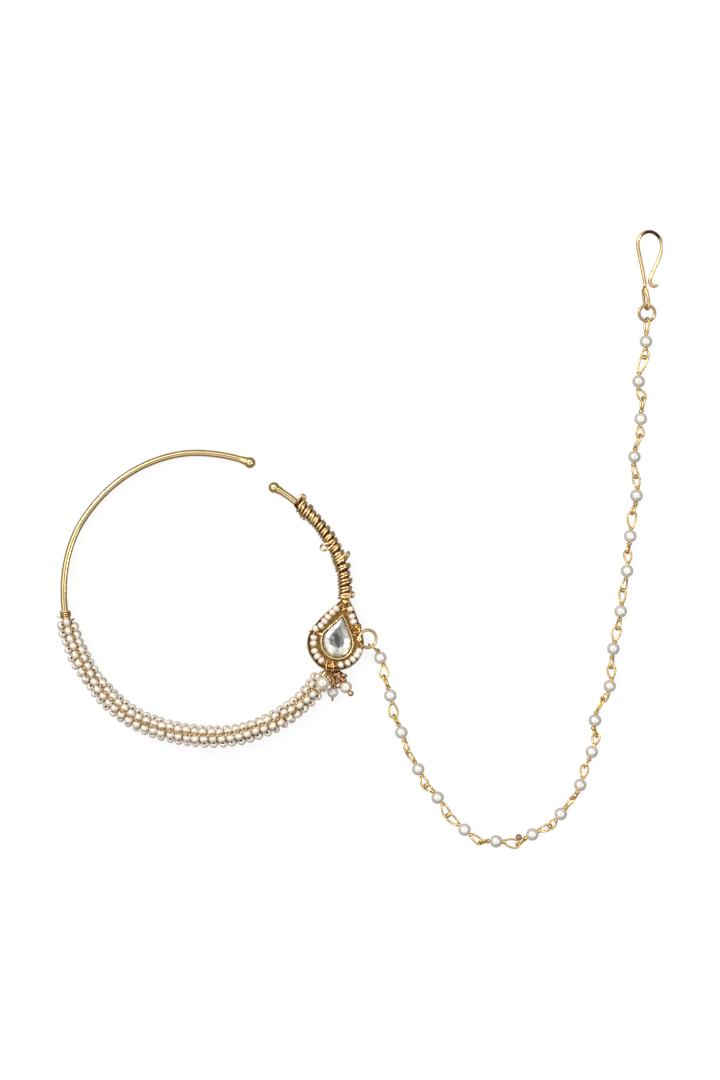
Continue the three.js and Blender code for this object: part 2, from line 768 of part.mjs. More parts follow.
const chainHeight = chainPearl / 2;
const chainRoot = new THREE.Group();
const linkReach = (chainWire + linkGap) / 2;
const ringReach = (chainWire + ringWire) / 2 + linkGap;

// The point of the first jump ring's wire that the chain hangs on.
function firstContact() {
  const turn = THREE.MathUtils.degToRad(firstLinkTurn);
  const across = new THREE.Vector3(0, 1, 0);
  const place = pendantRingCentre.clone().addScaledVector(ringOut, pendantRingRadius * Math.cos(turn));
  return place.addScaledVector(across, pendantRingRadius * Math.sin(turn));
}

function onRoute(x, y, height) {
  return new THREE.Vector3(eyeCentre.x + x, eyeCentre.y + y, height);
}

const lastRow = chainRoute[chainRoute.length - 1];
const lastContact = onRoute(lastRow.jointX, lastRow.jointY, lastJointHeight);

function chainLink(row, index) {
  const previous = chainRoute[index - 1];
  const isFirst = index === 0;
  const isLast = row === lastRow;
  const entry = isFirst ? firstContact() : onRoute(previous.jointX, previous.jointY, chainHeight);
  const exit = isLast ? lastContact.clone() : onRoute(row.jointX, row.jointY, chainHeight);
  const centre = onRoute(row.x, row.y, chainHeight);
  const along = exit.clone().sub(entry).normalize();
  const neckReach = chainPearl / 2 + chainNeck;
  const necks = [-1, 1].map((sign) => centre.clone().addScaledVector(along, sign * neckReach));
  const ends = [
    hookedEnd(necks[0], entry, isFirst ? ringReach : linkReach),
    hookedEnd(necks[1], exit, isLast ? ringReach : linkReach),
  ];
  const rollIn = isFirst ? firstRollIn : previous.rollIn;
  const shared = { width: chainEye, wire: chainWire };
  const first = eyeCorners({ neck: necks[0], end: ends[0], roll: rollIn, ...shared });
  const second = eyeCorners({ neck: necks[1], end: ends[1], roll: -row.rollOut, ...shared });
  const label = String(index + 1).padStart(2, '0');
  const pearl = mesh(`chain_pearl_${label}`, chainBead, pearlWhite);
  pearl.position.copy(centre);
  pearl.quaternion.setFromUnitVectors(new THREE.Vector3(0, 1, 0), along);
  const wire = bentTube([...first, ...second.reverse()], chainWire, wireSides);
  return [pearl, mesh(`chain_wire_${label}`, wire, gilt)];
}

// The middle of an eye's end when the eye runs round the wire at the contact.
function hookedEnd(neck, contact, reach) {
  const direction = contact.clone().sub(neck).normalize();
  return contact.clone().addScaledVector(direction, reach);
}

const chainBead = drilledBead(chainPearl, chainWire + 2 * boreGap);
chainRoot.add(pendantRing);
chainRoute.forEach((row, index) => chainRoot.add(...chainLink(row, index)));

// Hook, with the jump ring that ties it to the chain

const hookRingRadius = (hookRingDiameter - ringWire) / 2;
const hookRing = jumpRing('hook_jump_ring', hookRingDiameter);
hookRing.position.copy(lastContact).add(new THREE.Vector3(0, hookRingRadius, 0));
const hookContact = lastContact.clone().add(new THREE.Vector3(0, 2 * hookRingRadius, 0));

function hairHook() {
  const turn = THREE.MathUtils.degToRad(hookEyeTurn);
  const alongEye = new THREE.Vector3(Math.cos(turn), Math.sin(turn), 0);
  const end = hookContact.clone().addScaledVector(alongEye, -((hookWire + ringWire) / 2 + linkGap));
  const neck = end.clone().addScaledVector(alongEye, hookEyeLength);
  const eye = eyeCorners({ neck, end, roll: hookEyeRoll, width: hookEye, wire: hookWire });
  const low = hookWire / 2;
  const places = hookRoute.map((row) => {
    const height = low + row.lift * (neck.z - low);
    return new THREE.Vector3(neck.x + row.across * hookSpan, neck.y + row.along * hookRise, height);
  });
  const shank = new THREE.CatmullRomCurve3(places).getPoints(hookSteps);
  return mesh('hair_hook', bentTube([...eye, ...shank.slice(1)], hookWire, wireSides), gilt);
}

chainRoot.add(hookRing, hairHook());

// The part stands on the middle of its own base.

const nath = new THREE.Group();
nath.add(hoopGroup, chainRoot);
nath.updateMatrixWorld(true);
const extent = new THREE.Box3().setFromObject(nath, true);
const middle = extent.getCenter(new THREE.Vector3());
nath.position.set(-middle.x, -middle.y, -extent.min.z);

export default nath;
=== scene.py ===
# %% [markdown]
# # A bridal nose ring with its hair chain
# A nath is a big open wire hoop. Part of it is hidden in a sleeve of tiny glass beads,
# part of it is wrapped in wire, and a drop-shaped setting with a foil-backed stone sits
# between the two. A chain of drilled pearls takes the weight up to a hook in the hair.
# Every shape below is a surface worked out with numpy and put into a mesh in one go.

import bpy
import numpy as np
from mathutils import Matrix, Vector


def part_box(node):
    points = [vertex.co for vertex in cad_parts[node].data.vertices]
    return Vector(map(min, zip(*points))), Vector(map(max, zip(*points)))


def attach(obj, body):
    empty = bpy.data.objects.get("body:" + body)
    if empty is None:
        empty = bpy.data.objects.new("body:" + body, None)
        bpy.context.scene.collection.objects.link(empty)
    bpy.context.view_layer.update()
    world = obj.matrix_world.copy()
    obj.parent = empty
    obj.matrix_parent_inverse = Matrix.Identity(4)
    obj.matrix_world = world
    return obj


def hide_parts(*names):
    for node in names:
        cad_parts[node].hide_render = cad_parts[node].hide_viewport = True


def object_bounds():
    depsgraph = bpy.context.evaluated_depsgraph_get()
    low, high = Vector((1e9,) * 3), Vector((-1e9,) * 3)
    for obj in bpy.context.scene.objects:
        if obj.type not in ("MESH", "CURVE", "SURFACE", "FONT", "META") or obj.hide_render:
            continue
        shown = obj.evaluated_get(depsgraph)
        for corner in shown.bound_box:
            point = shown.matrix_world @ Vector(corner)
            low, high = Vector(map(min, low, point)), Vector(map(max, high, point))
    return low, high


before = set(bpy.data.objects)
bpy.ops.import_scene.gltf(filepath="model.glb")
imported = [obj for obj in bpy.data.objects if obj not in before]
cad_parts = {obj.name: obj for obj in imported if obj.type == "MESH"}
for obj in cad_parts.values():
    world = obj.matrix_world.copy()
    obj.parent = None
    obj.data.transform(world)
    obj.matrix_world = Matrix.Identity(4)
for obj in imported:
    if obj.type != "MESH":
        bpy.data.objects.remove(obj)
cad_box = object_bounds()
MM = 0.001
print("solids in the packed model:", len(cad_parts))

# %% [markdown]
# ## The sizes that everything follows
# These are the jewel's own sizes in millimetres, the same ones that its solids have.
# The hoop isn't quite a circle: a bent wire never is. So its radius is a short table of
# shares against the angle, and a smooth curve runs through them.

# %% Sizes in millimetres, angles in degrees
HOOP_RADIUS = 26.8
HOOP_WIRE = 1.24
END_BALL = 2.1
END_FLARE = 2.2
HOOP_ENDS = (70.8, 416.6)
HOOP_SHAPE = np.array([
    # angle, radius share
    (70.8, 0.979), (85, 0.987), (100, 1), (140, 1.001),
    (155, 1.006), (180, 0.997), (215, 0.996), (240, 1.014),
    (260, 1.008), (290, 1.034), (325, 1.03), (350, 0.998),
    (370, 0.995), (388, 0.955), (400, 0.922), (416.6, 0.896),
])
SLEEVE_DIAMETER = 4.4
SLEEVE_START = 190.5
SLEEVE_SHORT = 9.62
BINDING_LENGTH = 1.64
COIL_DIAMETER = 2.78
COIL_SHORT = 7.41
COIL_END_SHORT = 6.22
SETTING_ANGLE = 342.56
SETTING_INWARD = 0.9
UP = np.array([0.0, 0.0, 1.0])


def unit(vectors):
    """Each vector divided by its own length."""
    return vectors / np.linalg.norm(vectors, axis=-1, keepdims=True)


def smooth_table(places, table):
    """A cubic through a table's rows, with the slope between the neighbours at each row."""
    x, y = table[:, 0], table[:, 1]
    slope = np.empty_like(y)
    slope[1:-1] = (y[2:] - y[:-2]) / (x[2:] - x[:-2])
    slope[0] = (y[1] - y[0]) / (x[1] - x[0])
    slope[-1] = (y[-1] - y[-2]) / (x[-1] - x[-2])
    places = np.clip(places, x[0], x[-1])
    low = np.clip(np.searchsorted(x, places, side="right") - 1, 0, len(x) - 2)
    gap = x[low + 1] - x[low]
    t = (places - x[low]) / gap
    rise = (1 + 2 * t) * (1 - t) ** 2 * y[low] + t * t * (3 - 2 * t) * y[low + 1]
    return rise + gap * (t * (1 - t) ** 2 * slope[low] + t * t * (t - 1) * slope[low + 1])


def hoop_line(angles):
    """The middle of the wire: radius(angle) times (cos angle, sin angle), in the hoop's plane."""
    angles = np.atleast_1d(np.asarray(angles, float))
    radius = HOOP_RADIUS * smooth_table(angles, HOOP_SHAPE)
    turn = np.radians(angles)
    return np.stack([radius * np.cos(turn), radius * np.sin(turn), 0 * turn], -1)


def hoop_ahead(angles):
    """The direction of the wire towards larger angles."""
    angles = np.atleast_1d(np.asarray(angles, float))
    return unit(hoop_line(angles + 0.5) - hoop_line(angles - 0.5) + 1e-9)


def hoop_turn(length):
    """The angle that a length along the wire takes up."""
    return np.degrees(length / HOOP_RADIUS)


SLEEVE_END = SETTING_ANGLE - hoop_turn(SLEEVE_SHORT)
BINDING_START = SLEEVE_START - hoop_turn(BINDING_LENGTH)
COIL_START = SETTING_ANGLE + hoop_turn(COIL_SHORT)
COIL_END = HOOP_ENDS[1] - hoop_turn(COIL_END_SHORT)
print("sleeve from", SLEEVE_START, "to", round(SLEEVE_END, 1), "degrees")

# %% [markdown]
# ## Where it lies
# The hoop leans a little, because it rests on both ends of the thick sleeve and on the
# far end of the wrapped stretch. Three points make that plane. The chain's route is a
# list of chosen points: each pearl, then the joint after it, and how far the wire's eyes
# are rolled up from lying flat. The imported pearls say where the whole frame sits.

# %% The plane of the hoop and the route of the chain
RIM_EYE = (0.845, -0.89)
SETTING_WIDTH = 10.75
SETTING_LENGTH = 13.7
CHAIN_ROUTE = np.array([
    # x, y, joint x, joint y, roll out, roll in
    (4, -3.6, 4.7, -7.2, 0, 75), (5.9, -10.8, 6.6, -14.7, 0, 75),
    (8, -17.8, 9.2, -21.5, 60, -60), (11.2, -24.8, 12.6, -28, 35, -50),
    (14.9, -30.2, 16.8, -33.6, 35, -35), (20, -36.3, 23, -38.7, 45, -70),
    (26, -38.5, 30.1, -39.1, 0, -66), (32.9, -37.2, 36.3, -35.7, 50, -35),
    (38.3, -33.3, 40.6, -30.3, 65, -60), (42, -27.8, 42.9, -24.3, 30, -85),
    (44.2, -21.5, 45.1, -18.4, 35, -70), (44.8, -15.5, 46.4, -11.5, 80, -40),
    (47.6, -9, 47.9, -5.4, 25, -60), (48.3, -1.9, 49.1, 2, 5, 65),
    (49.7, 5.2, 50.1, 9.2, 45, -50), (50.9, 12.9, 51, 16.5, 35, -70),
    (51.5, 19.5, 51.9, 23.9, 0, 75), (52.7, 27.2, 52.6, 30.8, 40, -50),
    (52.3, 34.6, 53.4, 38.6, 70, -25), (53.5, 41.8, 54, 45.7, 70, -25),
    (53.1, 48.9, 54.3, 53.5, 35, -30), (54.5, 56.5, 54.7, 60.4, 60, 0),
])
LABELS = [f"{n + 1:02d}" for n in range(len(CHAIN_ROUTE))]


def rest_plane():
    """The upright of the plane through three resting points, and its height at the middle."""
    points = hoop_line([SLEEVE_START, SLEEVE_END, COIL_END])
    points[:, 2] = SLEEVE_DIAMETER / 2, SLEEVE_DIAMETER / 2, COIL_DIAMETER / 2
    upright = unit(np.cross(points[1] - points[0], points[2] - points[0]))
    return upright, points[0] @ upright / upright[2]


def middle_of(node):
    """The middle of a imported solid's box, in millimetres."""
    low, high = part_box(node)
    return np.array((low + high) / 2) / MM


upright, hoop_height = rest_plane()
LEAN = np.array(Vector(UP).rotation_difference(Vector(upright)).to_matrix())
setting_reach = np.linalg.norm(hoop_line(SETTING_ANGLE)[0]) - SETTING_INWARD
SETTING = setting_reach * unit(hoop_line(SETTING_ANGLE)[0])
EYE = SETTING + (SETTING_WIDTH / 2 - RIM_EYE[0], RIM_EYE[1], 0)
pearl_middles = np.array([middle_of(f"chain_pearl_{n}") for n in LABELS])
SHIFT = np.append((pearl_middles[:, :2] - EYE[:2] - CHAIN_ROUTE[:, :2]).mean(0), 0)


def in_row(points):
    """From the hoop's own plane to where the jewel lies: lean, lift and shift."""
    return points @ LEAN.T + SHIFT + (0, 0, hoop_height)


print("hoop plane leans", round(np.degrees(np.arccos(upright[2])), 2), "degrees, shift", SHIFT.round(3))

# %% [markdown]
# ## Camera
# The picture looks straight down. One pixel of it is 0.19 mm here, so the camera's height
# follows from the lens and from the height of the picture.

# %% Camera straight above
PICTURE = (720, 1080)
PIXEL = 0.19
HOOP_PIXEL = (204.5, 593)
LENS = 150
SENSOR = 36
LOOK_HEIGHT = 1.6


def from_pixel(x, y):
    """A place on the hoop's plane for a pixel of the picture, in the hoop's millimetres."""
    return np.array([(x - HOOP_PIXEL[0]) * PIXEL, (HOOP_PIXEL[1] - y) * PIXEL, 0])


camera_data = bpy.data.cameras.new("camera")
camera_data.lens = LENS
camera_data.sensor_width = SENSOR
camera = bpy.data.objects.new("camera", camera_data)
bpy.context.scene.collection.objects.link(camera)
aim = from_pixel(PICTURE[0] / 2, PICTURE[1] / 2) + SHIFT
reach = PICTURE[1] * PIXEL * LENS / SENSOR
camera.location = Vector((aim[0], aim[1], LOOK_HEIGHT + reach)) * MM
bpy.context.scene.camera = camera
print("camera height in mm:", round(reach))

# %% [markdown]
# ## Light
# Polished metal only shows what it mirrors. A dark patch straight above gives each wire
# the dark line along its middle, and the bright zone around it gives the two pale lines
# beside that. Soft boxes from two sides add the bright spots on the pearls.

# %% World and soft boxes
bpy.context.scene.view_settings.view_transform = "Standard"


def new_node(nodes, kind, **values):
    """A node with its settings; a name that is an input's name sets that input."""
    node = nodes.new(kind)
    for name, value in values.items():
        if name in node.inputs:
            node.inputs[name].default_value = value
        else:
            setattr(node, name, value)
    return node


def set_ramp(ramp, stops):
    """Puts the stops, each a place and a colour, on a colour ramp."""
    elements = ramp.color_ramp.elements
    while len(elements) < len(stops):
        elements.new(0.5)
    for element, (place, colour) in zip(elements, stops):
        element.position = place
        element.color = (*colour, 1)


def studio_world():
    """Brightness by the height of the direction, and more of it on the upper left side."""
    world = bpy.data.worlds.new("studio")
    world.use_nodes = True
    nodes, links = world.node_tree.nodes, world.node_tree.links
    coordinates = nodes.new("ShaderNodeTexCoord")
    split = nodes.new("ShaderNodeSeparateXYZ")
    ramp = nodes.new("ShaderNodeValToRGB")
    set_ramp(ramp, [
        (0, (0.3, 0.29, 0.27)), (0.2, (0.36, 0.35, 0.33)), (0.5, (0.75, 0.74, 0.71)),
        (0.78, (2.9, 2.86, 2.8)), (0.93, (2.9, 2.86, 2.8)), (0.97, (0.2, 0.19, 0.18)),
    ])
    tilt = new_node(nodes, "ShaderNodeVectorMath", operation="DOT_PRODUCT")
    tilt.inputs[1].default_value = (-0.45, 0.4, 0)
    lit_side = new_node(nodes, "ShaderNodeMath", operation="ADD")
    lit_side.inputs[1].default_value = 1
    scaled = new_node(nodes, "ShaderNodeVectorMath", operation="SCALE")
    links.new(coordinates.outputs["Generated"], split.inputs[0])
    links.new(coordinates.outputs["Generated"], tilt.inputs[0])
    links.new(tilt.outputs["Value"], lit_side.inputs[0])
    links.new(split.outputs["Z"], ramp.inputs[0])
    links.new(ramp.outputs[0], scaled.inputs[0])
    links.new(lit_side.outputs[0], scaled.inputs["Scale"])
    links.new(scaled.outputs[0], nodes["Background"].inputs["Color"])
    nodes["Background"].inputs["Strength"].default_value = 0.5
    bpy.context.scene.world = world


def soft_box(name, place, size, power, colour):
    """A square area light that looks at the middle of the jewel."""
    data = bpy.data.lights.new(name, "AREA")
    data.size = size
    data.energy = power
    data.color = colour
    light = bpy.data.objects.new(name, data)
    light.location = place
    light.rotation_euler = (-Vector(place)).to_track_quat("-Z", "Y").to_euler()
    bpy.context.scene.collection.objects.link(light)


studio_world()
soft_box("key_box", (-0.34, 0.3, 0.5), 0.16, 1.6, (1, 0.98, 0.95))
soft_box("fill_box", (0.45, -0.1, 0.45), 0.16, 0.6, (0.97, 0.98, 1))
print("soft boxes:", len(bpy.data.lights))

# %% [markdown]
# ## Floor
# The jewel lies on a white table that is lit from below as well, so that its shadow
# stays faint. Seen in the metal, the table is darker, as a light tent's floor would be
# without its lamp.

# %% White table
def table_material():
    """White for the camera, dimmer for the light that it gives back to the jewel."""
    material = bpy.data.materials.new("table_white")
    material.use_nodes = True
    nodes, links = material.node_tree.nodes, material.node_tree.links
    nodes.clear()
    paper = new_node(nodes, "ShaderNodeBsdfDiffuse", Color=(0.9, 0.9, 0.9, 1))
    glow = new_node(nodes, "ShaderNodeEmission", Color=(1, 1, 1, 1), Strength=1.06)
    dim = new_node(nodes, "ShaderNodeEmission", Color=(0.9, 0.84, 0.76, 1), Strength=0.36)
    lit = new_node(nodes, "ShaderNodeMixShader", Fac=0.8)
    seen = nodes.new("ShaderNodeMixShader")
    path = nodes.new("ShaderNodeLightPath")
    out = nodes.new("ShaderNodeOutputMaterial")
    links.new(paper.outputs[0], lit.inputs[1])
    links.new(glow.outputs[0], lit.inputs[2])
    links.new(path.outputs["Is Camera Ray"], seen.inputs[0])
    links.new(dim.outputs[0], seen.inputs[1])
    links.new(lit.outputs[0], seen.inputs[2])
    links.new(seen.outputs[0], out.inputs["Surface"])
    return material


TABLE_HALF = 3.0
floor_mesh = bpy.data.meshes.new("table_top")
corners = [(-1, -1, 0), (1, -1, 0), (1, 1, 0), (-1, 1, 0)]
floor_mesh.from_pydata([tuple(TABLE_HALF * np.array(c)) for c in corners], [], [(0, 1, 2, 3)])
floor_mesh.materials.append(table_material())
floor = bpy.data.objects.new("table_top", floor_mesh)
bpy.context.scene.collection.objects.link(floor)
print("table:", 2 * TABLE_HALF, "m wide")

# %% [markdown]
# ## Surfaces as arrays
# A surface is a pair: its points, and lists of faces that number them. Three makers are
# enough for a jewel. The first, a tube, carries a circle along a path. Its ends are
# rounded off by a few smaller circles, so that a cut wire doesn't look sawn.

# %% Closed grids and tubes
def grid_faces(rows, columns, wrap_rows=False):
    """Four-sided faces of a grid whose columns go round and whose rows may."""
    row = np.arange(rows if wrap_rows else rows - 1)[:, None]
    column = np.arange(columns)[None, :]
    low, high = row * columns, (row + 1) % rows * columns
    beside = (column + 1) % columns
    return np.stack([low + column, low + beside, high + beside, high + column], -1).reshape(-1, 4)


def end_faces(rows, columns):
    """One face at each end of a grid, so that it is closed."""
    ring = np.arange(columns)
    return np.stack([ring[::-1], (rows - 1) * columns + ring])


def closed_grid(points, wrap_rows=False):
    """A grid of points (rows, columns, 3) as a closed surface."""
    rows, columns = points.shape[:2]
    faces = [grid_faces(rows, columns, wrap_rows)]
    if not wrap_rows:
        faces.append(end_faces(rows, columns))
    return points.reshape(-1, 3), faces


def tube(path, radius, reference, sides=12, ring=False):
    """A round wire: path(t) + radius(t) (side cos turn + lift sin turn), its ends rounded off."""
    path = np.asarray(path, float)
    radius = np.broadcast_to(np.asarray(radius, float), len(path)).copy()
    step = np.roll(path, -1, 0) - np.roll(path, 1, 0) if ring else np.gradient(path, axis=0)
    ahead = unit(step)
    side = unit(np.cross(np.broadcast_to(reference, path.shape), ahead))
    if not ring:
        bulge = np.radians([25, 50, 72, 86])
        first = path[0] - ahead[0] * radius[0] * np.sin(bulge[::-1, None])
        last = path[-1] + ahead[-1] * radius[-1] * np.sin(bulge[:, None])
        path = np.concatenate([first, path, last])
        ahead = np.concatenate([np.repeat(ahead[:1], 4, 0), ahead, np.repeat(ahead[-1:], 4, 0)])
        side = np.concatenate([np.repeat(side[:1], 4, 0), side, np.repeat(side[-1:], 4, 0)])
        caps = radius[0] * np.cos(bulge[::-1]), radius[-1] * np.cos(bulge)
        radius = np.concatenate([caps[0], radius, caps[1]])
    lift = np.cross(ahead, side)
    turn = np.linspace(0, 2 * np.pi, sides, endpoint=False)[None, :, None]
    circle = side[:, None] * np.cos(turn) + lift[:, None] * np.sin(turn)
    return closed_grid(path[:, None] + radius[:, None, None] * circle, ring)


print("points of a tube over three places:", len(tube([(0, 0, 0), (1, 0, 0), (2, 0, 0)], 0.5, UP)[0]))

# %% [markdown]
# ## Turned shapes
# The second maker is a lathe: a profile of radius and height, turned round an axis. Balls
# and drilled beads are lathe work. A bead's bore is part of its profile, so its hole is
# real and the wire inside shows.

# %% Lathe, ball and drilled bead
def lathe(profile, sides=16, ring=False):
    """A profile of (radius, height) turned round the Z axis. Outside, it runs upwards."""
    profile = np.asarray(profile, float)
    turn = np.linspace(0, 2 * np.pi, sides, endpoint=False)[None, :]
    radius, height = profile[:, :1], profile[:, 1:]
    points = np.stack([radius * np.cos(turn), radius * np.sin(turn), height + 0 * turn], -1)
    return closed_grid(points, ring)


def ball(radius, sides=16, bands=9):
    """A sphere: radius times (cos lean, sin lean) turned round Z."""
    lean = np.radians(np.linspace(-88, 88, bands))
    return lathe(radius * np.stack([np.cos(lean), np.sin(lean)], -1), sides)


def drilled(radius, half_length, bore, sides=16, bands=10, squareness=1.0):
    """A drilled bead. Outside: radius cos(lean) to a power, half length sin(lean). A straight bore."""
    rim = np.arccos(np.clip((bore / radius) ** (1 / squareness), 0, 0.999))
    lean = np.linspace(-rim, rim, bands)
    height = half_length * np.sin(lean) / np.sin(rim)
    outside = np.stack([radius * np.cos(lean) ** squareness, height], -1)
    inside = np.array([(bore * 0.86, half_length * 0.9), (bore * 0.86, -half_length * 0.9)])
    return lathe(np.concatenate([outside, inside]), sides, ring=True)


print("points of a ball:", len(ball(1.0)[0]))

# %% [markdown]
# ## Copies and smooth lines
# The third maker repeats one small surface many times: turned, moved and sized by whole
# arrays. A smooth line through chosen corners gives the outlines and the bent wires.

# %% Copies, joins and lines
def upright_on(directions, reference=UP):
    """Turning matrices that take Z to each direction, with X kept square to the reference."""
    ahead = unit(np.atleast_2d(directions))
    reference = np.broadcast_to(reference, ahead.shape) + np.array([1e-4, 2e-4, 0])
    side = unit(np.cross(reference, ahead))
    return np.stack([side, np.cross(ahead, side), ahead], -1)


def copies(surface, places, turns=None, sizes=1.0):
    """One surface repeated: turned, sized and moved, all copies in one product of arrays."""
    points, faces = surface
    places = np.atleast_2d(places)
    count = len(places)
    turns = np.broadcast_to(np.eye(3) if turns is None else turns, (count, 3, 3))
    sizes = np.broadcast_to(np.asarray(sizes, float).reshape(-1, 1), (count, 1))
    moved = np.einsum("kij,nj->kni", turns, points) * sizes[:, :, None] + places[:, None]
    start = np.arange(count)[:, None, None] * len(points)
    return moved.reshape(-1, 3), [(f[None] + start).reshape(-1, f.shape[1]) for f in faces]


def joined(surfaces):
    """Several surfaces as one."""
    starts = np.cumsum([0] + [len(points) for points, _ in surfaces])
    faces = [f + start for (_, kinds), start in zip(surfaces, starts) for f in kinds]
    return np.concatenate([points for points, _ in surfaces]), faces


def through(corners, count, ring=False):
    """A smooth line through corners (a Catmull-Rom curve), as count points."""
    corners = np.asarray(corners, float)
    if ring:
        around = np.concatenate([corners[-1:], corners, corners[:2]])
    else:
        first, last = 2 * corners[0] - corners[1], 2 * corners[-1] - corners[-2]
        around = np.concatenate([[first], corners, [last]])
    spans = len(around) - 3
    place = np.linspace(0, spans, count, endpoint=not ring)
    low = np.clip(place.astype(int), 0, spans - 1)
    t = (place - low)[:, None]
    a, b, c, d = (around[low + k] for k in range(4))
    square, cube = 2 * a - 5 * b + 4 * c - d, 3 * b - a - 3 * c + d
    return 0.5 * (2 * b + (c - a) * t + square * t**2 + cube * t**3)


print("a smooth line through two corners:", through([(0, 0), (1, 1)], 3).tolist())

# %% [markdown]
# ## From arrays to a mesh
# A mesh could be built point by point, but that is slow for hundreds of beads. Here the
# whole array goes in at once with foreach_set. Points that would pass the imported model's
# box are pressed onto it, because what is seen may not be larger than the solids.

# %% Putting a surface into a mesh
pieces_made = {}


def piece(name, surface, material, slot, replaces=(), flat=False, **shades):
    """A mesh object from a surface in millimetres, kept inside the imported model's box."""
    points, kinds = surface
    points = np.clip(points, np.array(cad_box[0]) / MM, np.array(cad_box[1]) / MM)
    mesh = bpy.data.meshes.new(name)
    mesh.vertices.add(len(points))
    mesh.vertices.foreach_set("co", (points * MM).astype(np.float32).ravel())
    corners = np.concatenate([f.ravel() for f in kinds])
    counts = np.concatenate([np.full(len(f), f.shape[1]) for f in kinds])
    mesh.loops.add(len(corners))
    mesh.loops.foreach_set("vertex_index", corners.astype(np.int32))
    mesh.polygons.add(len(counts))
    mesh.polygons.foreach_set("loop_start", (np.cumsum(counts) - counts).astype(np.int32))
    mesh.update(calc_edges=True)
    mesh.validate()
    mesh.polygons.foreach_set("use_smooth", np.full(len(mesh.polygons), not flat))
    for shade, values in shades.items():
        attribute = mesh.attributes.new(shade, "FLOAT", "POINT")
        attribute.data.foreach_set("value", np.broadcast_to(values, len(points)).astype(np.float32))
    mesh.materials.append(material)
    thing = bpy.data.objects.new(name, mesh)
    bpy.context.scene.collection.objects.link(thing)
    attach(thing, "root")
    if replaces:
        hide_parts(*replaces)
    pieces_made[name] = int((counts - 2).sum())
    print(f"{name}: {pieces_made[name]} triangles")
    return thing


print("box that pieces stay inside:", cad_box)

# %% [markdown]
# ## Finishes
# Old gilt is bright where it is rubbed and brown where it isn't. One node group makes
# that mottling from noise, another gives fine dents, and a third tints
# each bead a little differently from a number stored on its points.

# %% Mottling as a node group
def start_group(name, inputs, outputs):
    """An empty node group with its named sockets."""
    group = bpy.data.node_groups.new(name, "ShaderNodeTree")
    for socket, kind, value in inputs:
        made = group.interface.new_socket(socket, in_out="INPUT", socket_type=kind)
        if value is not None:
            made.default_value = value
    for socket, kind in outputs:
        group.interface.new_socket(socket, in_out="OUTPUT", socket_type=kind)
    ins = group.nodes.new("NodeGroupInput")
    outs = group.nodes.new("NodeGroupOutput")
    return group, ins, outs


FLOAT, COLOUR, VECTOR = "NodeSocketFloat", "NodeSocketColor", "NodeSocketVector"


def mottle_group():
    """Two colours mixed by noise, and the mask that mixed them."""
    group, ins, outs = start_group(
        "mottle",
        [("Clean", COLOUR, (0.8, 0.6, 0.3, 1)), ("Dark", COLOUR, (0.3, 0.15, 0.05, 1)),
         ("Scale", FLOAT, 900.0), ("Amount", FLOAT, 0.5)],
        [("Color", COLOUR), ("Mask", FLOAT)],
    )
    nodes, links = group.nodes, group.links
    place = nodes.new("ShaderNodeTexCoord")
    coarse = new_node(nodes, "ShaderNodeTexNoise", Detail=4.0, Roughness=0.6)
    span = new_node(nodes, "ShaderNodeMapRange", clamp=True)
    span.inputs["From Min"].default_value = 0.35
    span.inputs["From Max"].default_value = 0.7
    strength = new_node(nodes, "ShaderNodeMath", operation="MULTIPLY", use_clamp=True)
    mix = new_node(nodes, "ShaderNodeMix", data_type="RGBA")
    links.new(place.outputs["Object"], coarse.inputs["Vector"])
    links.new(ins.outputs["Scale"], coarse.inputs["Scale"])
    links.new(coarse.outputs["Fac"], span.inputs["Value"])
    links.new(span.outputs[0], strength.inputs[0])
    links.new(ins.outputs["Amount"], strength.inputs[1])
    links.new(strength.outputs[0], mix.inputs["Factor"])
    links.new(ins.outputs["Clean"], mix.inputs["A"])
    links.new(ins.outputs["Dark"], mix.inputs["B"])
    links.new(mix.outputs["Result"], outs.inputs["Color"])
    links.new(strength.outputs[0], outs.inputs["Mask"])
    return group


MOTTLE = mottle_group()
print("inputs of the mottling:", [s.name for s in MOTTLE.interface.items_tree if s.in_out == "INPUT"])

# %% [markdown]
# ## Wear and tint
# Wear is noise that is used twice: as a bump for the dents, and as a roughness. Tint is
# only a mix of two colours, but as a group it says in every material what it is for.

# %% Wear and tint as node groups
def wear_group():
    """Fine dents as a bumped normal, and a roughness that wanders with them."""
    group, ins, outs = start_group(
        "wear",
        [("Scale", FLOAT, 1500.0), ("Depth", FLOAT, 0.00003),
         ("Low", FLOAT, 0.15), ("High", FLOAT, 0.35)],
        [("Normal", VECTOR), ("Roughness", FLOAT)],
    )
    nodes, links = group.nodes, group.links
    place = nodes.new("ShaderNodeTexCoord")
    noise = new_node(nodes, "ShaderNodeTexNoise", Detail=3.0, Roughness=0.55)
    bump = new_node(nodes, "ShaderNodeBump", Strength=0.6)
    span = nodes.new("ShaderNodeMapRange")
    links.new(place.outputs["Object"], noise.inputs["Vector"])
    links.new(ins.outputs["Scale"], noise.inputs["Scale"])
    links.new(noise.outputs["Fac"], bump.inputs["Height"])
    links.new(ins.outputs["Depth"], bump.inputs["Distance"])
    links.new(noise.outputs["Fac"], span.inputs["Value"])
    links.new(ins.outputs["Low"], span.inputs["To Min"])
    links.new(ins.outputs["High"], span.inputs["To Max"])
    links.new(bump.outputs[0], outs.inputs["Normal"])
    links.new(span.outputs[0], outs.inputs["Roughness"])
    return group


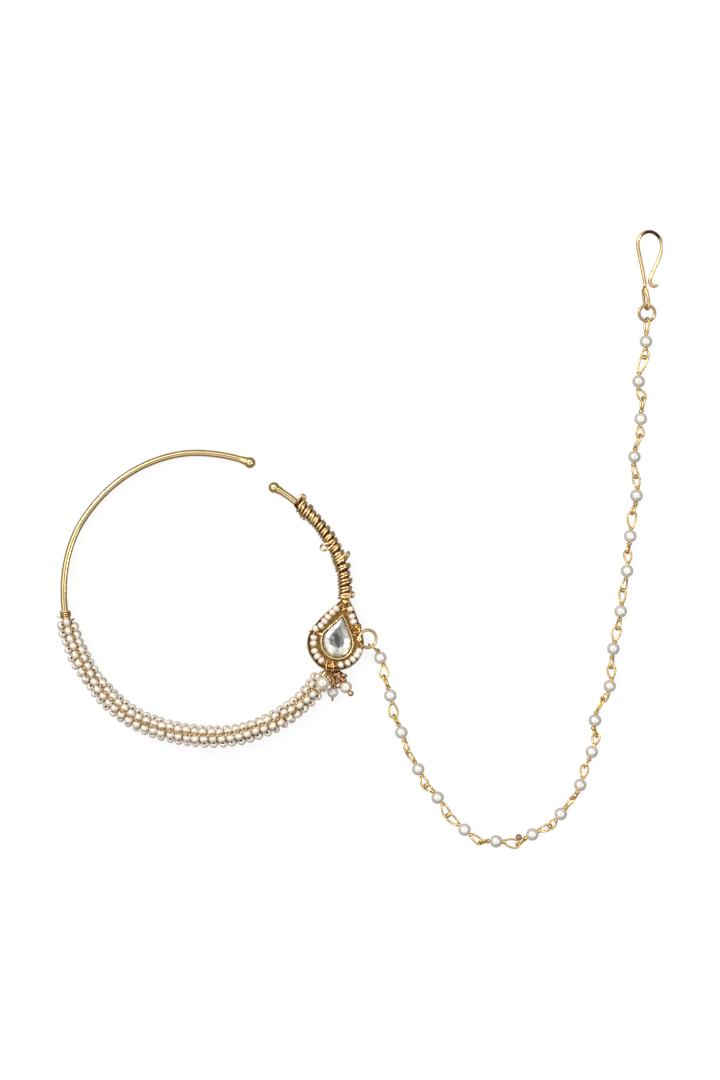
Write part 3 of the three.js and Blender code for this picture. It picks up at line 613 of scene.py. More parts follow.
def tint_group():
    """A colour between two, by a number from 0 to 1 stored on the points."""
    group, ins, outs = start_group(
        "tint",
        [("First", COLOUR, (0.9, 0.88, 0.84, 1)), ("Second", COLOUR, (0.8, 0.72, 0.6, 1)),
         ("Value", FLOAT, 0.5)],
        [("Color", COLOUR)],
    )
    nodes, links = group.nodes, group.links
    mix = new_node(nodes, "ShaderNodeMix", data_type="RGBA")
    links.new(ins.outputs["Value"], mix.inputs["Factor"])
    links.new(ins.outputs["First"], mix.inputs["A"])
    links.new(ins.outputs["Second"], mix.inputs["B"])
    links.new(mix.outputs["Result"], outs.inputs["Color"])
    return group


WEAR, TINT = wear_group(), tint_group()
print("node groups:", len(bpy.data.node_groups))

# %% [markdown]
# ## Metals
# All the metal is brass with a thin gold coat. On the smooth hoop and the chain it is
# pale and clean. Where wire is wound or soldered, the gaps are darkened towards brown as
# painted shade: a number on the points says how deep a place lies. On the hook the same
# number marks a patch of tarnish.

# %% Gold finishes
def group_in(nodes, group, **values):
    """A node group placed in a material, with its inputs set."""
    node = nodes.new("ShaderNodeGroup")
    node.node_tree = group
    for name, value in values.items():
        node.inputs[name].default_value = value
    return node


def start_finish(name, metal_share):
    """A new material with its nodes, its links and its shader."""
    material = bpy.data.materials.new(name)
    material.use_nodes = True
    nodes, links = material.node_tree.nodes, material.node_tree.links
    shader = nodes["Principled BSDF"]
    shader.inputs["Metallic"].default_value = metal_share
    return material, nodes, links, shader


def shade_and_tarnish_darkened(nodes, links, colour, shade_and_tarnish_colour):
    """The colour, led towards a dark one by the number on the points: painted shade in hollows, tarnish
    on the hook.
    """
    stored = new_node(nodes, "ShaderNodeAttribute", attribute_name="recess")
    deep = group_in(nodes, TINT, Second=(*shade_and_tarnish_colour, 1))
    links.new(colour, deep.inputs["First"])
    links.new(stored.outputs["Fac"], deep.inputs["Value"])
    return deep.outputs["Color"]


def end_finish(links, shader, colour, wear):
    """Leads the colour, and the wear's roughness and normal, into the shader."""
    links.new(colour, shader.inputs["Base Color"])
    links.new(wear.outputs["Roughness"], shader.inputs["Roughness"])
    links.new(wear.outputs["Normal"], shader.inputs["Normal"])


def metal(name, clean, dark, amount, scale, low, high, depth, recess=None):
    """A mottled metal. With a dark colour given, the points' number darkens it: painted shade in hollows,
    tarnish on the hook.
    """
    material, nodes, links, shader = start_finish(name, 1)
    colour = group_in(nodes, MOTTLE, Clean=(*clean, 1), Dark=(*dark, 1), Scale=scale, Amount=amount)
    wear = group_in(nodes, WEAR, Scale=scale * 1.7, Depth=depth, Low=low, High=high)
    result = colour.outputs["Color"]
    if recess:
        result = shade_and_tarnish_darkened(nodes, links, result, recess)
    end_finish(links, shader, result, wear)
    return material


HOOP_GOLD = metal("hoop_gold", (0.86, 0.66, 0.34), (0.7, 0.49, 0.2), 0.45, 350, 0.16, 0.28, 0.00002)
CHAIN_GOLD = metal("chain_gold", (0.94, 0.66, 0.24), (0.66, 0.4, 0.11), 0.6, 500, 0.16, 0.3, 0.00002)
DROP_COPPER = metal(
    "drop_copper", (0.86, 0.57, 0.29), (0.5, 0.27, 0.12), 0.7, 1200, 0.2, 0.38, 0.00003,
    recess=(0.13, 0.045, 0.02),
)
RING_GOLD = metal("ring_gold", (0.64, 0.47, 0.23), (0.4, 0.26, 0.1), 0.5, 450, 0.16, 0.3, 0.00002)
HOOK_GOLD = metal(
    "hook_gold", (0.93, 0.66, 0.29), (0.7, 0.42, 0.14), 0.5, 420, 0.16, 0.3, 0.00002,
    recess=(0.1, 0.04, 0.02),
)
COIL_GOLD = metal(
    "coil_gold", (1.0, 0.77, 0.43), (0.72, 0.43, 0.18), 0.6, 900, 0.18, 0.36, 0.00003,
    recess=(0.14, 0.05, 0.015),
)
SETTING_GOLD = metal(
    "setting_gold", (0.88, 0.55, 0.2), (0.42, 0.2, 0.06), 0.7, 1100, 0.25, 0.5, 0.00005,
    recess=(0.11, 0.045, 0.015),
)
BEZEL_GOLD = metal("bezel_gold", (0.97, 0.78, 0.44), (0.75, 0.5, 0.2), 0.4, 700, 0.12, 0.25, 0.00002)
THREAD_GOLD = metal(
    "thread_gold", (0.8, 0.58, 0.26), (0.42, 0.27, 0.1), 0.7, 1300, 0.25, 0.45, 0.00004,
    recess=(0.16, 0.09, 0.03),
)
print("metals:", [m.name for m in bpy.data.materials])

# %% [markdown]
# ## Pearls and beads
# A pearl coat is a soft body under a thin clear skin. The body scatters a little light
# inside, the skin gives the sharp highlight, and fine noise keeps it from looking like
# paint. Each bead carries its own tint number.

# %% Pearl and seed bead finishes
def pearl(name, first, second, lustre, body_roughness, coat, scatter, inner=None):
    """A pearl coat: lustre is its metal share. With inner, the points' number leads the colour towards
    it: painted shade in a bead's hole, a painted amber glow at its rims.
    """
    material, nodes, links, shader = start_finish(name, lustre)
    shader.inputs["Coat Weight"].default_value = coat
    shader.inputs["Coat Roughness"].default_value = 0.06
    shader.inputs["Subsurface Weight"].default_value = scatter
    shader.inputs["Subsurface Radius"].default_value = (0.0004, 0.0003, 0.0002)
    stored = new_node(nodes, "ShaderNodeAttribute", attribute_name="tint")
    colour = group_in(nodes, TINT, First=(*first, 1), Second=(*second, 1))
    low, high = body_roughness * 0.8, body_roughness * 1.3
    wear = group_in(nodes, WEAR, Scale=1400.0, Depth=0.00004, Low=low, High=high)
    links.new(stored.outputs["Fac"], colour.inputs["Value"])
    result = colour.outputs["Color"]
    if inner:
        result = shade_and_tarnish_darkened(nodes, links, result, inner)
    end_finish(links, shader, result, wear)
    return material


CHAIN_COAT = pearl("chain_coat", (0.92, 0.89, 0.84), (0.82, 0.78, 0.71), 0.42, 0.26, 1.0, 0.05)
SEED_PEARL = pearl(
    "seed_bead", (0.97, 0.87, 0.74), (0.89, 0.81, 0.71), 0.32, 0.2, 1.0, 0.1, inner=(0.2, 0.11, 0.03))
BORDER_PEARL = pearl("border_pearl", (0.97, 0.9, 0.8), (0.93, 0.82, 0.68), 0.3, 0.2, 1.0, 0.1)
DROP_PEARL = pearl("drop_pearl", (0.95, 0.9, 0.74), (0.8, 0.8, 0.76), 0.4, 0.18, 1.0, 0.1)
print("pearls:", [m.name for m in bpy.data.materials if "pearl" in m.name or "bead" in m.name])

# %% [markdown]
# ## The hoop
# One thick wire, cut open at the top. Each end is melted into a ball on a short flare.
# So the tube's radius is a function of the distance to the ball's middle: the larger of
# the ball's own circle and a flare that fades into the plain wire.

# %% Hoop wire with its end balls
FLARE_SWELL = 0.24
FLARE_NEAR = 0.8
END_REACH = 3.5
HOOP_STATIONS = 300


def end_radius(distance):
    """The wire's radius at a distance from the middle of an end ball."""
    ball_radius = END_BALL / 2
    circle = np.sqrt(np.clip(ball_radius**2 - distance**2, 1e-6, None))
    fade = np.clip((END_FLARE - distance) / (END_FLARE - FLARE_NEAR), 0, 1)
    flare = HOOP_WIRE / 2 * (1 + FLARE_SWELL * fade * fade * (3 - 2 * fade))
    flare = np.where(distance > 0, flare, 0)
    return np.maximum(circle, flare)


def hoop_wire():
    """The hoop as one tube whose stations crowd together at the balls."""
    ball_radius = END_BALL / 2
    close = ball_radius * np.sin(np.radians(np.linspace(-84, 66, 18)))
    away = np.linspace(ball_radius, 3.2, 10)
    from_end = np.concatenate([close, away])
    first, last = HOOP_ENDS[0] + hoop_turn(END_REACH), HOOP_ENDS[1] - hoop_turn(END_REACH)
    middle = np.linspace(first, last, HOOP_STATIONS)
    angles = np.concatenate([
        HOOP_ENDS[0] + hoop_turn(from_end), middle, HOOP_ENDS[1] - hoop_turn(from_end[::-1])])
    beyond = np.clip(angles, *HOOP_ENDS)
    overrun = np.radians(angles - beyond)[:, None] * HOOP_RADIUS
    inner = np.clip(beyond, HOOP_ENDS[0] + 0.6, HOOP_ENDS[1] - 0.6)
    path = hoop_line(beyond) + hoop_ahead(inner) * overrun
    distance = np.concatenate([from_end, np.full(len(middle), 9.0), from_end[::-1]])
    radius = end_radius(distance)
    wave = 1 + 0.012 * np.sin(angles * 0.9) + 0.008 * np.sin(angles * 2.3)
    points, faces = tube(path, radius * wave, UP, sides=24)
    return in_row(points), faces


piece("hoop_wire", hoop_wire(), HOOP_GOLD, "gilt")

# %% [markdown]
# ## The sleeve of seed beads
# The maker strings tiny beads on fine wire and winds the string round the hoop, six
# beads to a turn. So every bead's hole points round the hoop, and the wire shows between
# the beads. The turns aren't quite even: the rows of beads drift round the hoop, and a
# short table says by how much.

# %% Bead string wound round the hoop
BEAD_DIAMETER = 1.55
BEAD_LENGTH = 1.3
BEAD_BORE = 0.46
BEADS_PER_TURN = 6
STRING_RADIUS = 1.42
ROW_PITCH = 1.6
SEED_SIDES = 16
STRING_WIRE = 0.38
LINING_RADIUS = 0.98
# How far the rows have drifted round the hoop, in degrees, against the angle on it.
ROW_DRIFT = np.array([
    (190, -4), (205, 16), (216, 50), (223, 78), (238, 96),
    (250, 91), (258, 86), (280, 76), (290, 66), (303, 94), (311, 128), (323, 150),
])
random = np.random.default_rng(7)
SLEEVE_OVERRUN = 1.3
SLEEVE_TIP = SLEEVE_END + hoop_turn(SLEEVE_OVERRUN)


def on_string(places):
    """Points of the wound string: places count beads from the sleeve's start."""
    span = SLEEVE_TIP - SLEEVE_START
    rows = span / hoop_turn(ROW_PITCH)
    along = (places / BEADS_PER_TURN + 0.45) / (rows + 0.1)
    angle = SLEEVE_START + span * along
    turn = np.radians(90 - 360 / BEADS_PER_TURN * places - np.interp(angle, *ROW_DRIFT.T))
    return angle, turn


def round_hoop(angle, turn, radius):
    """A point beside the hoop's wire: out in its plane by cos turn, up by sin turn."""
    outward = np.cross(hoop_ahead(angle), UP)
    offset = outward * np.cos(turn)[:, None] + UP * np.sin(turn)[:, None]
    return hoop_line(angle) + offset * np.reshape(radius, (-1, 1))


print("the string winds", round((SLEEVE_TIP - SLEEVE_START) / hoop_turn(ROW_PITCH), 1), "times")

# %% [markdown]
# ## Every bead a little off
# Beads that sit exactly on the winding look printed. So each place, radius, axis and size
# gets a small random share, all drawn as whole arrays from one source with a fixed seed.

# %% Seed beads
bead_rows = int(round((SLEEVE_TIP - SLEEVE_START) / hoop_turn(ROW_PITCH)))
bead_count = bead_rows * BEADS_PER_TURN
bead_places = np.arange(bead_count) + random.normal(0, 0.045, bead_count)
bead_angle, bead_turn = on_string(bead_places)
bead_radius = STRING_RADIUS + random.normal(0, 0.02, bead_count)
bead_middles = round_hoop(bead_angle + random.normal(0, 0.12, bead_count), bead_turn, bead_radius)
nearby = 0.05
bead_axis = unit(round_hoop(*on_string(bead_places + nearby), STRING_RADIUS)
                 - round_hoop(*on_string(bead_places - nearby), STRING_RADIUS))
bead_axis = unit(bead_axis + random.normal(0, 0.09, bead_axis.shape))
bead_sizes = 1 + random.normal(0, 0.025, bead_count).clip(-0.05, 0.05)
seed = drilled(BEAD_DIAMETER / 2, BEAD_LENGTH / 2, BEAD_BORE / 2, SEED_SIDES, 9, squareness=0.7)
# One number for each ring of points, as painted light: shade on the hole's wall, an amber glow at both
# its rims.
seed_shade_rings = [0.5, 0.12, 0, 0, 0, 0, 0, 0.12, 0.5, 1, 1]
seed_painted_shade = np.tile(np.repeat(seed_shade_rings, SEED_SIDES), bead_count)
beads = copies(seed, bead_middles, upright_on(bead_axis), bead_sizes)
bead_tint = np.repeat(random.random(bead_count), len(seed[0]))
piece("seed_beads", (in_row(beads[0]), beads[1]), SEED_PEARL, "seed_pearl", ["bead_sleeve"],
      tint=bead_tint, recess=seed_painted_shade)

# %% [markdown]
# ## What shows between the beads
# The string itself runs through the bores, and below it a lining of wire covers the hoop.
# Its number makes it browner than the string: painted shade under the beads.

# %% String and lining
string_places = np.arange(-1.2, bead_count + 0.2, 0.1)
string_angle, string_turn = on_string(string_places)
string_path = round_hoop(string_angle, string_turn, STRING_RADIUS)
string = tube(string_path, STRING_WIRE / 2, hoop_ahead(string_angle), sides=6)
lining_angles = np.linspace(SLEEVE_START + 1.6, SLEEVE_TIP - 1.2, 400)
lining_radius = LINING_RADIUS + 0.06 * np.sin(lining_angles * 5.3)
lining = tube(hoop_line(lining_angles), lining_radius, UP, sides=18)
# Painted shade: the lining under the beads is darkened by its number, the string isn't.
string_painted_shade = np.concatenate([np.full(len(string[0]), 0.0), np.full(len(lining[0]), 0.45)])
string = joined([string, lining])
piece("bead_string", (in_row(string[0]), string[1]), THREAD_GOLD, "gilt", recess=string_painted_shade)

# %% [markdown]
# ## The wrapped stretch
# Here two fine wires are wound side by side, by hand and in a hurry: the turns lean,
# bunch up and stand off the hoop. The winding is a helix whose radius and pace wander by
# smooth noise. Places near the hoop get a number that darkens them to brown: painted shade.

# %% Wire wrapped round the hoop
COIL_WIRE = 0.44
COIL_PITCH = 1.25
STRAND_APART = 0.57
COIL_LEAN = 0.52
COIL_MIDDLE_RADIUS = 25.6
SHADE_CORE_RADIUS = 0.86
STRAY_LOOPS = [
    # corners of each loose loop: picture pixel, height above the hoop's plane in mm
    [(297, 505, 0.6), (299, 499, 1.3), (302, 494.8, 1.2), (305.5, 497, 0.7),
     (303, 502, 1.3), (299, 507, 1.3)],
    [(333, 540, 1.2), (328, 543.5, 1.5), (322.6, 544.8, 1.2), (320.6, 547.6, 0.7),
     (323.5, 550.4, 0.9), (328, 549, 1.4), (333, 545, 1.4)],
    [(340, 558, 1.3), (345, 555, 1.5), (348.6, 552, 1), (348.5, 556, 0.3), (343, 561, 1.3)],
    [(341, 596.5, 1.1), (345, 597.5, 1.3), (349, 597, 1.2), (352.5, 597, 0.7),
     (354, 593.8, 0.5), (351.5, 592, 0.9), (350, 595, 1.3)],
]


def wander(count, step, spread):
    """Smooth noise: random heights every so many points, with a smooth line through them."""
    knots = random.normal(0, spread, (max(4, count // step + 2), 1))
    return through(knots, count)[:, 0]


COIL_TURN_POINTS = 30
coil_turns = int(np.radians(COIL_END - COIL_START) * COIL_MIDDLE_RADIUS / COIL_PITCH)
coil_count = coil_turns * COIL_TURN_POINTS
shared_slip = wander(coil_count, 40, 0.1)
shared_swell = wander(coil_count, 15, 0.17).clip(-0.06, 0.34)


def strand(shift, lead):
    """One of the two wires: a helix round the hoop, shifted along it."""
    t = np.linspace(0, 1, coil_count)
    slip = shared_slip + wander(coil_count, 30, 0.035)
    turn = 2 * np.pi * coil_turns * t + lead
    angle = COIL_START + (COIL_END - COIL_START) * t + hoop_turn(shift * (1 - 0.28 * np.cos(turn)) + slip)
    radius = COIL_DIAMETER / 2 - COIL_WIRE / 2 + shared_swell + wander(coil_count, 20, 0.03)
    lean = hoop_turn(COIL_LEAN * np.cos(turn))
    return round_hoop(angle + lean, turn, radius), hoop_ahead(angle)


def at_pixel(x, y, height):
    """A place for a pixel at a height above the hoop's plane."""
    return from_pixel(x, y) + (0, 0, height)


def loose_wire(corners, wire, count, sides):
    """A wire along a smooth line through chosen pixels and heights."""
    path = through([at_pixel(*corner) for corner in corners], count)
    return tube(path, wire / 2, UP, sides=sides)


def coil():
    """Both wires and the loose loops, as one surface."""
    wires = []
    for shift, lead in [(-STRAND_APART / 2, 0.0), (STRAND_APART / 2, 0.12)]:
        path, along = strand(shift, lead)
        wires.append(tube(path, COIL_WIRE / 2, along, sides=10))
    wires += [loose_wire(corners, COIL_WIRE, 26, 10) for corners in STRAY_LOOPS]
    return joined(wires)


coil_points, coil_faces = coil()
nearest = np.degrees(np.arctan2(coil_points[:, 1], coil_points[:, 0])) % 360
nearest = np.where(nearest < 180, nearest + 360, nearest)
coil_out = np.linalg.norm(coil_points - hoop_line(nearest), axis=1)
# Painted shade: the wires darken where they lie close to the hoop.
coil_painted_shade = np.clip((1.12 - coil_out) / 0.2, 0, 1)
piece("wrap_wires", (in_row(coil_points), coil_faces), COIL_GOLD, "antique_gilt", ["wrap_coil"],
      recess=coil_painted_shade)
# A tube coloured all dark round the hoop under the winding: painted shade between the turns.
core_angles = np.linspace(COIL_START - 0.3, COIL_END + 0.2, 90)
shade_core = tube(hoop_line(core_angles), SHADE_CORE_RADIUS + 0.04 * np.sin(core_angles * 9), UP, sides=14)
piece("wrap_shade_core", (in_row(shade_core[0]), shade_core[1]), COIL_GOLD, "antique_gilt", recess=1.0)

# %% [markdown]
# ## Binding at the sleeve's start
# A few turns of wire stop the beads from sliding. They are wound unevenly, and the cut
# end of the wire stands out.

# %% Binding wire
BINDING_TURNS = 3.4
BINDING_WIRE = 0.34
STUB_WIRE = 0.24
STUB_LINE = np.array([
    # out of the hoop, along it, up
    (0.95, 0.35, 0.1), (1.25, 0.2, 0.05), (1.6, 0.05, 0),
])


def binding():
    """Turns that grow narrower, then a stub."""
    t = np.linspace(0, 1, 90)
    angle = BINDING_START + hoop_turn(0.2 + 1.35 * t)
    turn = 2 * np.pi * BINDING_TURNS * t
    radius = 0.62 + 0.22 + 0.2 * np.sin(2.1 * turn) ** 2 * (1 - t)
    wound = tube(round_hoop(angle, turn, radius), BINDING_WIRE / 2, hoop_ahead(angle), sides=8)
    out = np.cross(hoop_ahead(BINDING_START + 2), UP)[0]
    ahead = hoop_ahead(BINDING_START + 2)[0]
    origin = hoop_line(BINDING_START + 2)[0]
    path = origin + STUB_LINE[:, :1] * out + STUB_LINE[:, 1:2] * ahead + STUB_LINE[:, 2:] * UP
    stub = tube(through(path, 8), STUB_WIRE / 2, UP, sides=7)
    return joined([wound, stub])


bound = binding()
piece("sleeve_binding_wire", (in_row(bound[0]), bound[1]), THREAD_GOLD, "gilt", ["sleeve_binding"])

# %% [markdown]
# ## The setting
# A drop-shaped dish of sheet metal with a low wall, soldered on the hoop. Its outline is
# a smooth line through chosen points, and the same line, made narrower, gives the inner
# wall and the floor. The walls and the corner at their feet get a number that darkens them: painted
# shade.

# %% Dish of the setting
RIM_WALL = 0.34
SETTING_BASE = 0.27
SETTING_FLOOR = 0.72
RIM_TOP = 1.17
SETTING_OUTLINE = np.array([
    # across, along, as shares of the width and the length
    (0.128, 0.5), (0.017, 0.414), (-0.16, 0.303), (-0.363, 0.136), (-0.478, -0.017),
    (-0.5, -0.162), (-0.442, -0.301), (-0.301, -0.44), (-0.125, -0.5), (0.087, -0.5),
    (0.264, -0.454), (0.414, -0.35), (0.494, -0.211), (0.499, -0.072), (0.45, 0.08),
    (0.37, 0.268), (0.3, 0.393), (0.232, 0.5),
])
OUTLINE_POINTS = 120


def stacked(outline, size, middle, profile):
    """Rings of one outline, each narrower by twice its inset and at its own height."""
    ring = through(outline, OUTLINE_POINTS)
    inset, height = np.asarray(profile, float).T
    across = middle[0] + ring[None, :, 0] * (size[0] - 2 * inset[:, None])
    along = middle[1] + ring[None, :, 1] * (size[1] - 2 * inset[:, None])
    return np.stack([across, along, np.broadcast_to(height[:, None], across.shape)], -1)


def lifted(surface):
    """A surface of the hoop's plane, moved to where the jewel lies."""
    return in_row(surface[0]), surface[1]


dish_profile = [
    (0.3, SETTING_BASE), (0.05, SETTING_BASE), (0, SETTING_BASE + 0.06), (0, RIM_TOP - 0.06),
    (0.04, RIM_TOP - 0.015), (0.13, RIM_TOP), (0.24, RIM_TOP - 0.01), (RIM_WALL - 0.03, RIM_TOP - 0.06),
    (RIM_WALL, RIM_TOP - 0.12), (RIM_WALL, SETTING_FLOOR + 0.08), (0.42, SETTING_FLOOR),
    (0.8, SETTING_FLOOR), (1.3, SETTING_FLOOR), (1.8, SETTING_FLOOR),
]
# Painted shade: a darkening number for each ring of the profile, high on the walls and in the corner at
# the floor.
dish_shade_rings = [0.5, 0.8, 0.8, 0.8, 0.75, 0.6, 0.7, 0.9, 1, 1, 1, 0.25, 0.05, 0.5]
dish_painted_shade = np.repeat(dish_shade_rings, OUTLINE_POINTS)
dish = stacked(SETTING_OUTLINE, (SETTING_WIDTH, SETTING_LENGTH), SETTING, dish_profile)
piece("setting_dish", lifted(closed_grid(dish)), SETTING_GOLD, "gilt", recess=dish_painted_shade)

# %% [markdown]
# ## The bezel
# A thin upright wall holds the stone. It is the stone's outline carried through a narrow
# closed profile: up outside, over the rolled edge and down inside. The edge dips in a
# small wave, as if it had been pressed against the stone by hand.

# %% Bezel
BEZEL_SIZE = (6.37, 8.6)
BEZEL_SHIFT = (0.32, -0.54, 0)
BEZEL_TOP = 2.22
BEZEL_OUTLINE = np.array([
    # across, along, as shares of the width and the length
    (0.169, 0.5), (0.008, 0.39), (-0.231, 0.235), (-0.425, 0.103), (-0.494, -0.019),
    (-0.5, -0.151), (-0.446, -0.284), (-0.336, -0.394), (-0.157, -0.476), (0.082, -0.5),
    (0.291, -0.445), (0.44, -0.317), (0.5, -0.162), (0.464, 0.003), (0.372, 0.18),
    (0.27, 0.357), (0.169, 0.5),
])
bezel_middle = SETTING + BEZEL_SHIFT
bezel_profile = [
    (0, 0.6), (-0.05, 0.78), (0, 0.95), (0.02, BEZEL_TOP - 0.12), (0.05, BEZEL_TOP - 0.03),
    (0.13, BEZEL_TOP), (0.22, BEZEL_TOP - 0.01), (0.28, BEZEL_TOP - 0.06), (0.33, BEZEL_TOP - 0.3),
    (0.33, 0.8),
]
bezel = stacked(BEZEL_OUTLINE, BEZEL_SIZE, bezel_middle, bezel_profile)
bezel_wave = 0.03 * np.sin(np.linspace(0, 2 * np.pi * 9, OUTLINE_POINTS)) ** 2
bezel[3:8, :, 2] -= bezel_wave
piece("bezel_wall", lifted(closed_grid(bezel, wrap_rows=True)), BEZEL_GOLD, "gilt")

# %% [markdown]
# ## The stone
# The stone is cut glass on crinkled foil: what the camera sees is a few large facets,
# each with its own grey. So each facet gets a tint number of its own, a painted reflection,
# and the edges stay sharp because the mesh is shaded flat. Soft oval patches paint the
# foil's bright and dark reflections over the table.

# %% Stone with facets
STONE_INSET = 0.44
STONE_CUT = [
    # size share, height
    (0.86, 0.82), (1, 1.47), (1, 1.63), (0.86, 2.02), (0.55, 2.37),
]
STONE_CORNERS = 14
FACET_STEPS = 6
TABLE_RINGS = 12
# Painted reflections: bright and dark spots of the foil laid into the stone's colour.
STONE_PAINTED_REFLECTIONS = [
    # picture pixel, radius across and along in mm, turn in degrees, tint
    (347.5, 642, 1.1, 2.3, 8, 1.0), (342.5, 624, 0.7, 1.2, -10, 0.55), (337, 631, 0.9, 0.8, 0, 0.6),
    (337.3, 640, 0.6, 1.55, 10, 0.05), (341.5, 640, 0.3, 1.3, 12, 0.45),
    (332.5, 647.5, 0.8, 0.75, -20, 0.9),
    (329.5, 636, 0.95, 0.42, -28, 1.0), (331.5, 640, 0.75, 0.16, -32, 0.2),
    (331, 643.5, 0.6, 0.14, -15, 0.3),
    (334, 635, 0.35, 0.35, 0, 0.25), (341, 655.5, 1.0, 0.25, 0, 0.35),
]


def stone_surface():
    """Rings of the bezel's outline with straight edges between corners, up to a flat table."""
    ring = through(BEZEL_OUTLINE, STONE_CORNERS + 1)
    place = np.linspace(0, STONE_CORNERS, STONE_CORNERS * FACET_STEPS, endpoint=False)
    ring = np.stack([np.interp(place, np.arange(STONE_CORNERS + 1), ring[:, k]) for k in (0, 1)], -1)
    inner = np.array(BEZEL_SIZE) - 2 * STONE_INSET
    cut = np.array(STONE_CUT)
    level = np.concatenate([np.linspace(0, len(cut) - 1, 13), np.full(TABLE_RINGS, len(cut) - 1)])
    size = np.interp(level, np.arange(len(cut)), cut[:, 0])
    size[13:] *= np.linspace(1, 0.02, TABLE_RINGS + 1)[1:]
    height = np.interp(level, np.arange(len(cut)), cut[:, 1])
    flat = bezel_middle[:2] + ring[None] * inner * size[:, None, None]
    return np.concatenate([flat, np.broadcast_to(height[:, None, None], flat.shape[:2] + (1,))], -1)


def stone_painted_reflections(points):
    """Painted reflections of the foil: a grey for each facet, then soft oval patches laid over it."""
    corner = np.arange(points.shape[1]) // FACET_STEPS
    tints = np.broadcast_to(random.uniform(0.45, 0.95, STONE_CORNERS)[corner], points.shape[:2]).copy()
    tints[13:] = 0.74
    for x, y, across, along, turn, tint in STONE_PAINTED_REFLECTIONS:
        offset = points - from_pixel(x, y)
        c, d = np.cos(np.radians(turn)), np.sin(np.radians(turn))
        u, v = offset[..., 0] * c + offset[..., 1] * d, offset[..., 1] * c - offset[..., 0] * d
        share = np.clip(2.6 - 2.6 * ((u / across) ** 2 + (v / along) ** 2), 0, 1)
        tints += share * (tint - tints)
    return tints.ravel()


stone = stone_surface()
print("stone: rings and points in a ring:", stone.shape[:2])

# %% [markdown]
# ## Glass over foil
# Real glass over a foil needs many light paths to look right. A glossy, mostly metallic
# grey under a clear coat comes near that look, and the tint number, which carries the painted
# reflections, sets its grey.

# %% Foil-backed glass
def foil_glass():
    """Glass over foil: a glossy grey that follows the tint number's painted reflections, with cloudy
    streaks.
    """
    material, nodes, links, shader = start_finish("foil_glass", 0.7)
    shader.inputs["Coat Weight"].default_value = 0.6
    shader.inputs["Coat Roughness"].default_value = 0.03
    stored = new_node(nodes, "ShaderNodeAttribute", attribute_name="tint")
    facet = group_in(nodes, TINT, First=(0.12, 0.13, 0.13, 1), Second=(0.97, 0.96, 0.92, 1))
    cloud = group_in(nodes, MOTTLE, Dark=(0.36, 0.36, 0.34, 1), Scale=620.0, Amount=0.5)
    wear = group_in(nodes, WEAR, Scale=420.0, Depth=0.0003, Low=0.1, High=0.3)
    links.new(stored.outputs["Fac"], facet.inputs["Value"])
    links.new(facet.outputs["Color"], cloud.inputs["Clean"])
    end_finish(links, shader, cloud.outputs["Color"], wear)
    return material


piece("cut_stone", lifted(closed_grid(stone)), foil_glass(), "stone", ["drop_stone"], flat=True,
      tint=stone_painted_reflections(stone))

# %% [markdown]
# ## Pearls round the stone
# Nineteen little drilled beads sit in the dish with their holes along its edge. They
# keep in runs with bare spots between, because they were threaded through holes in the
# floor. Their places are a list, and each points along the line to its neighbours.

# %% Border pearls
BORDER_PEARLS = [
    # runs of places as picture pixels
    [(336.3, 608.4), (332.1, 612.2), (327.9, 616.8), (324.5, 621), (321, 625.6), (315.3, 628.3)],
    [(313.7, 637.4), (313.4, 643.2), (314.5, 650.8), (317.2, 656.2), (321.4, 660.4)],
    [(340.9, 664.6), (347.8, 662.7), (352.8, 659.2), (357, 655), (359.3, 650.8)],
    [(353.5, 621.8), (352, 616.4), (350.5, 609.1)],
]
BORDER_RADIUS = 0.72
BORDER_HALF = 0.53
THREAD_WIRE = 0.22


def run_places(run):
    """The places of one run and the directions to their neighbours."""
    places = np.array([from_pixel(x, y) for x, y in run])
    return places, np.gradient(places, axis=0)


run_rows = [run_places(run) for run in BORDER_PEARLS]
border_places = np.concatenate([places for places, _ in run_rows])
border_count = len(border_places)
border_noise = random.normal(0, 0.05, (border_count, 3)) * (1, 1, 2)
border_ahead = unit(np.concatenate([ahead for _, ahead in run_rows]) + border_noise)
border_places[:, 2] = SETTING_FLOOR + 0.1 + BORDER_RADIUS
border_bead = drilled(BORDER_RADIUS, BORDER_HALF, 0.15, sides=24, bands=13, squareness=0.55)
border_sizes = 1 + random.uniform(-0.05, 0.03, border_count)
border = copies(border_bead, border_places, upright_on(border_ahead), border_sizes)
border_tint = np.repeat(random.random(border_count), len(border_bead[0]))
piece("border_beads", lifted(border), BORDER_PEARL, "seed_pearl", ["border_pearls"], tint=border_tint)
threads = []
for places, ahead in run_rows:
    before, behind = places[:1] - ahead[:1] * 1.1, places[-1:] + ahead[-1:] * 1.1
    thread_line = np.concatenate([before, places, behind]) + (0, 0, SETTING_FLOOR + 0.5)
    threads.append(tube(through(thread_line, 30), THREAD_WIRE / 2, UP, sides=7))
piece("border_thread", lifted(joined(threads)), THREAD_GOLD, "gilt")

# %% [markdown]
# ## Solder, grains and the eye on the rim
# Lumps of solder and gold paste fill the tip and the right side of the dish, and a tiny
# tube on the rim takes the chain's ring. A lump is a ball pushed in and out by a few
# waves of different lengths, so that no two look alike.

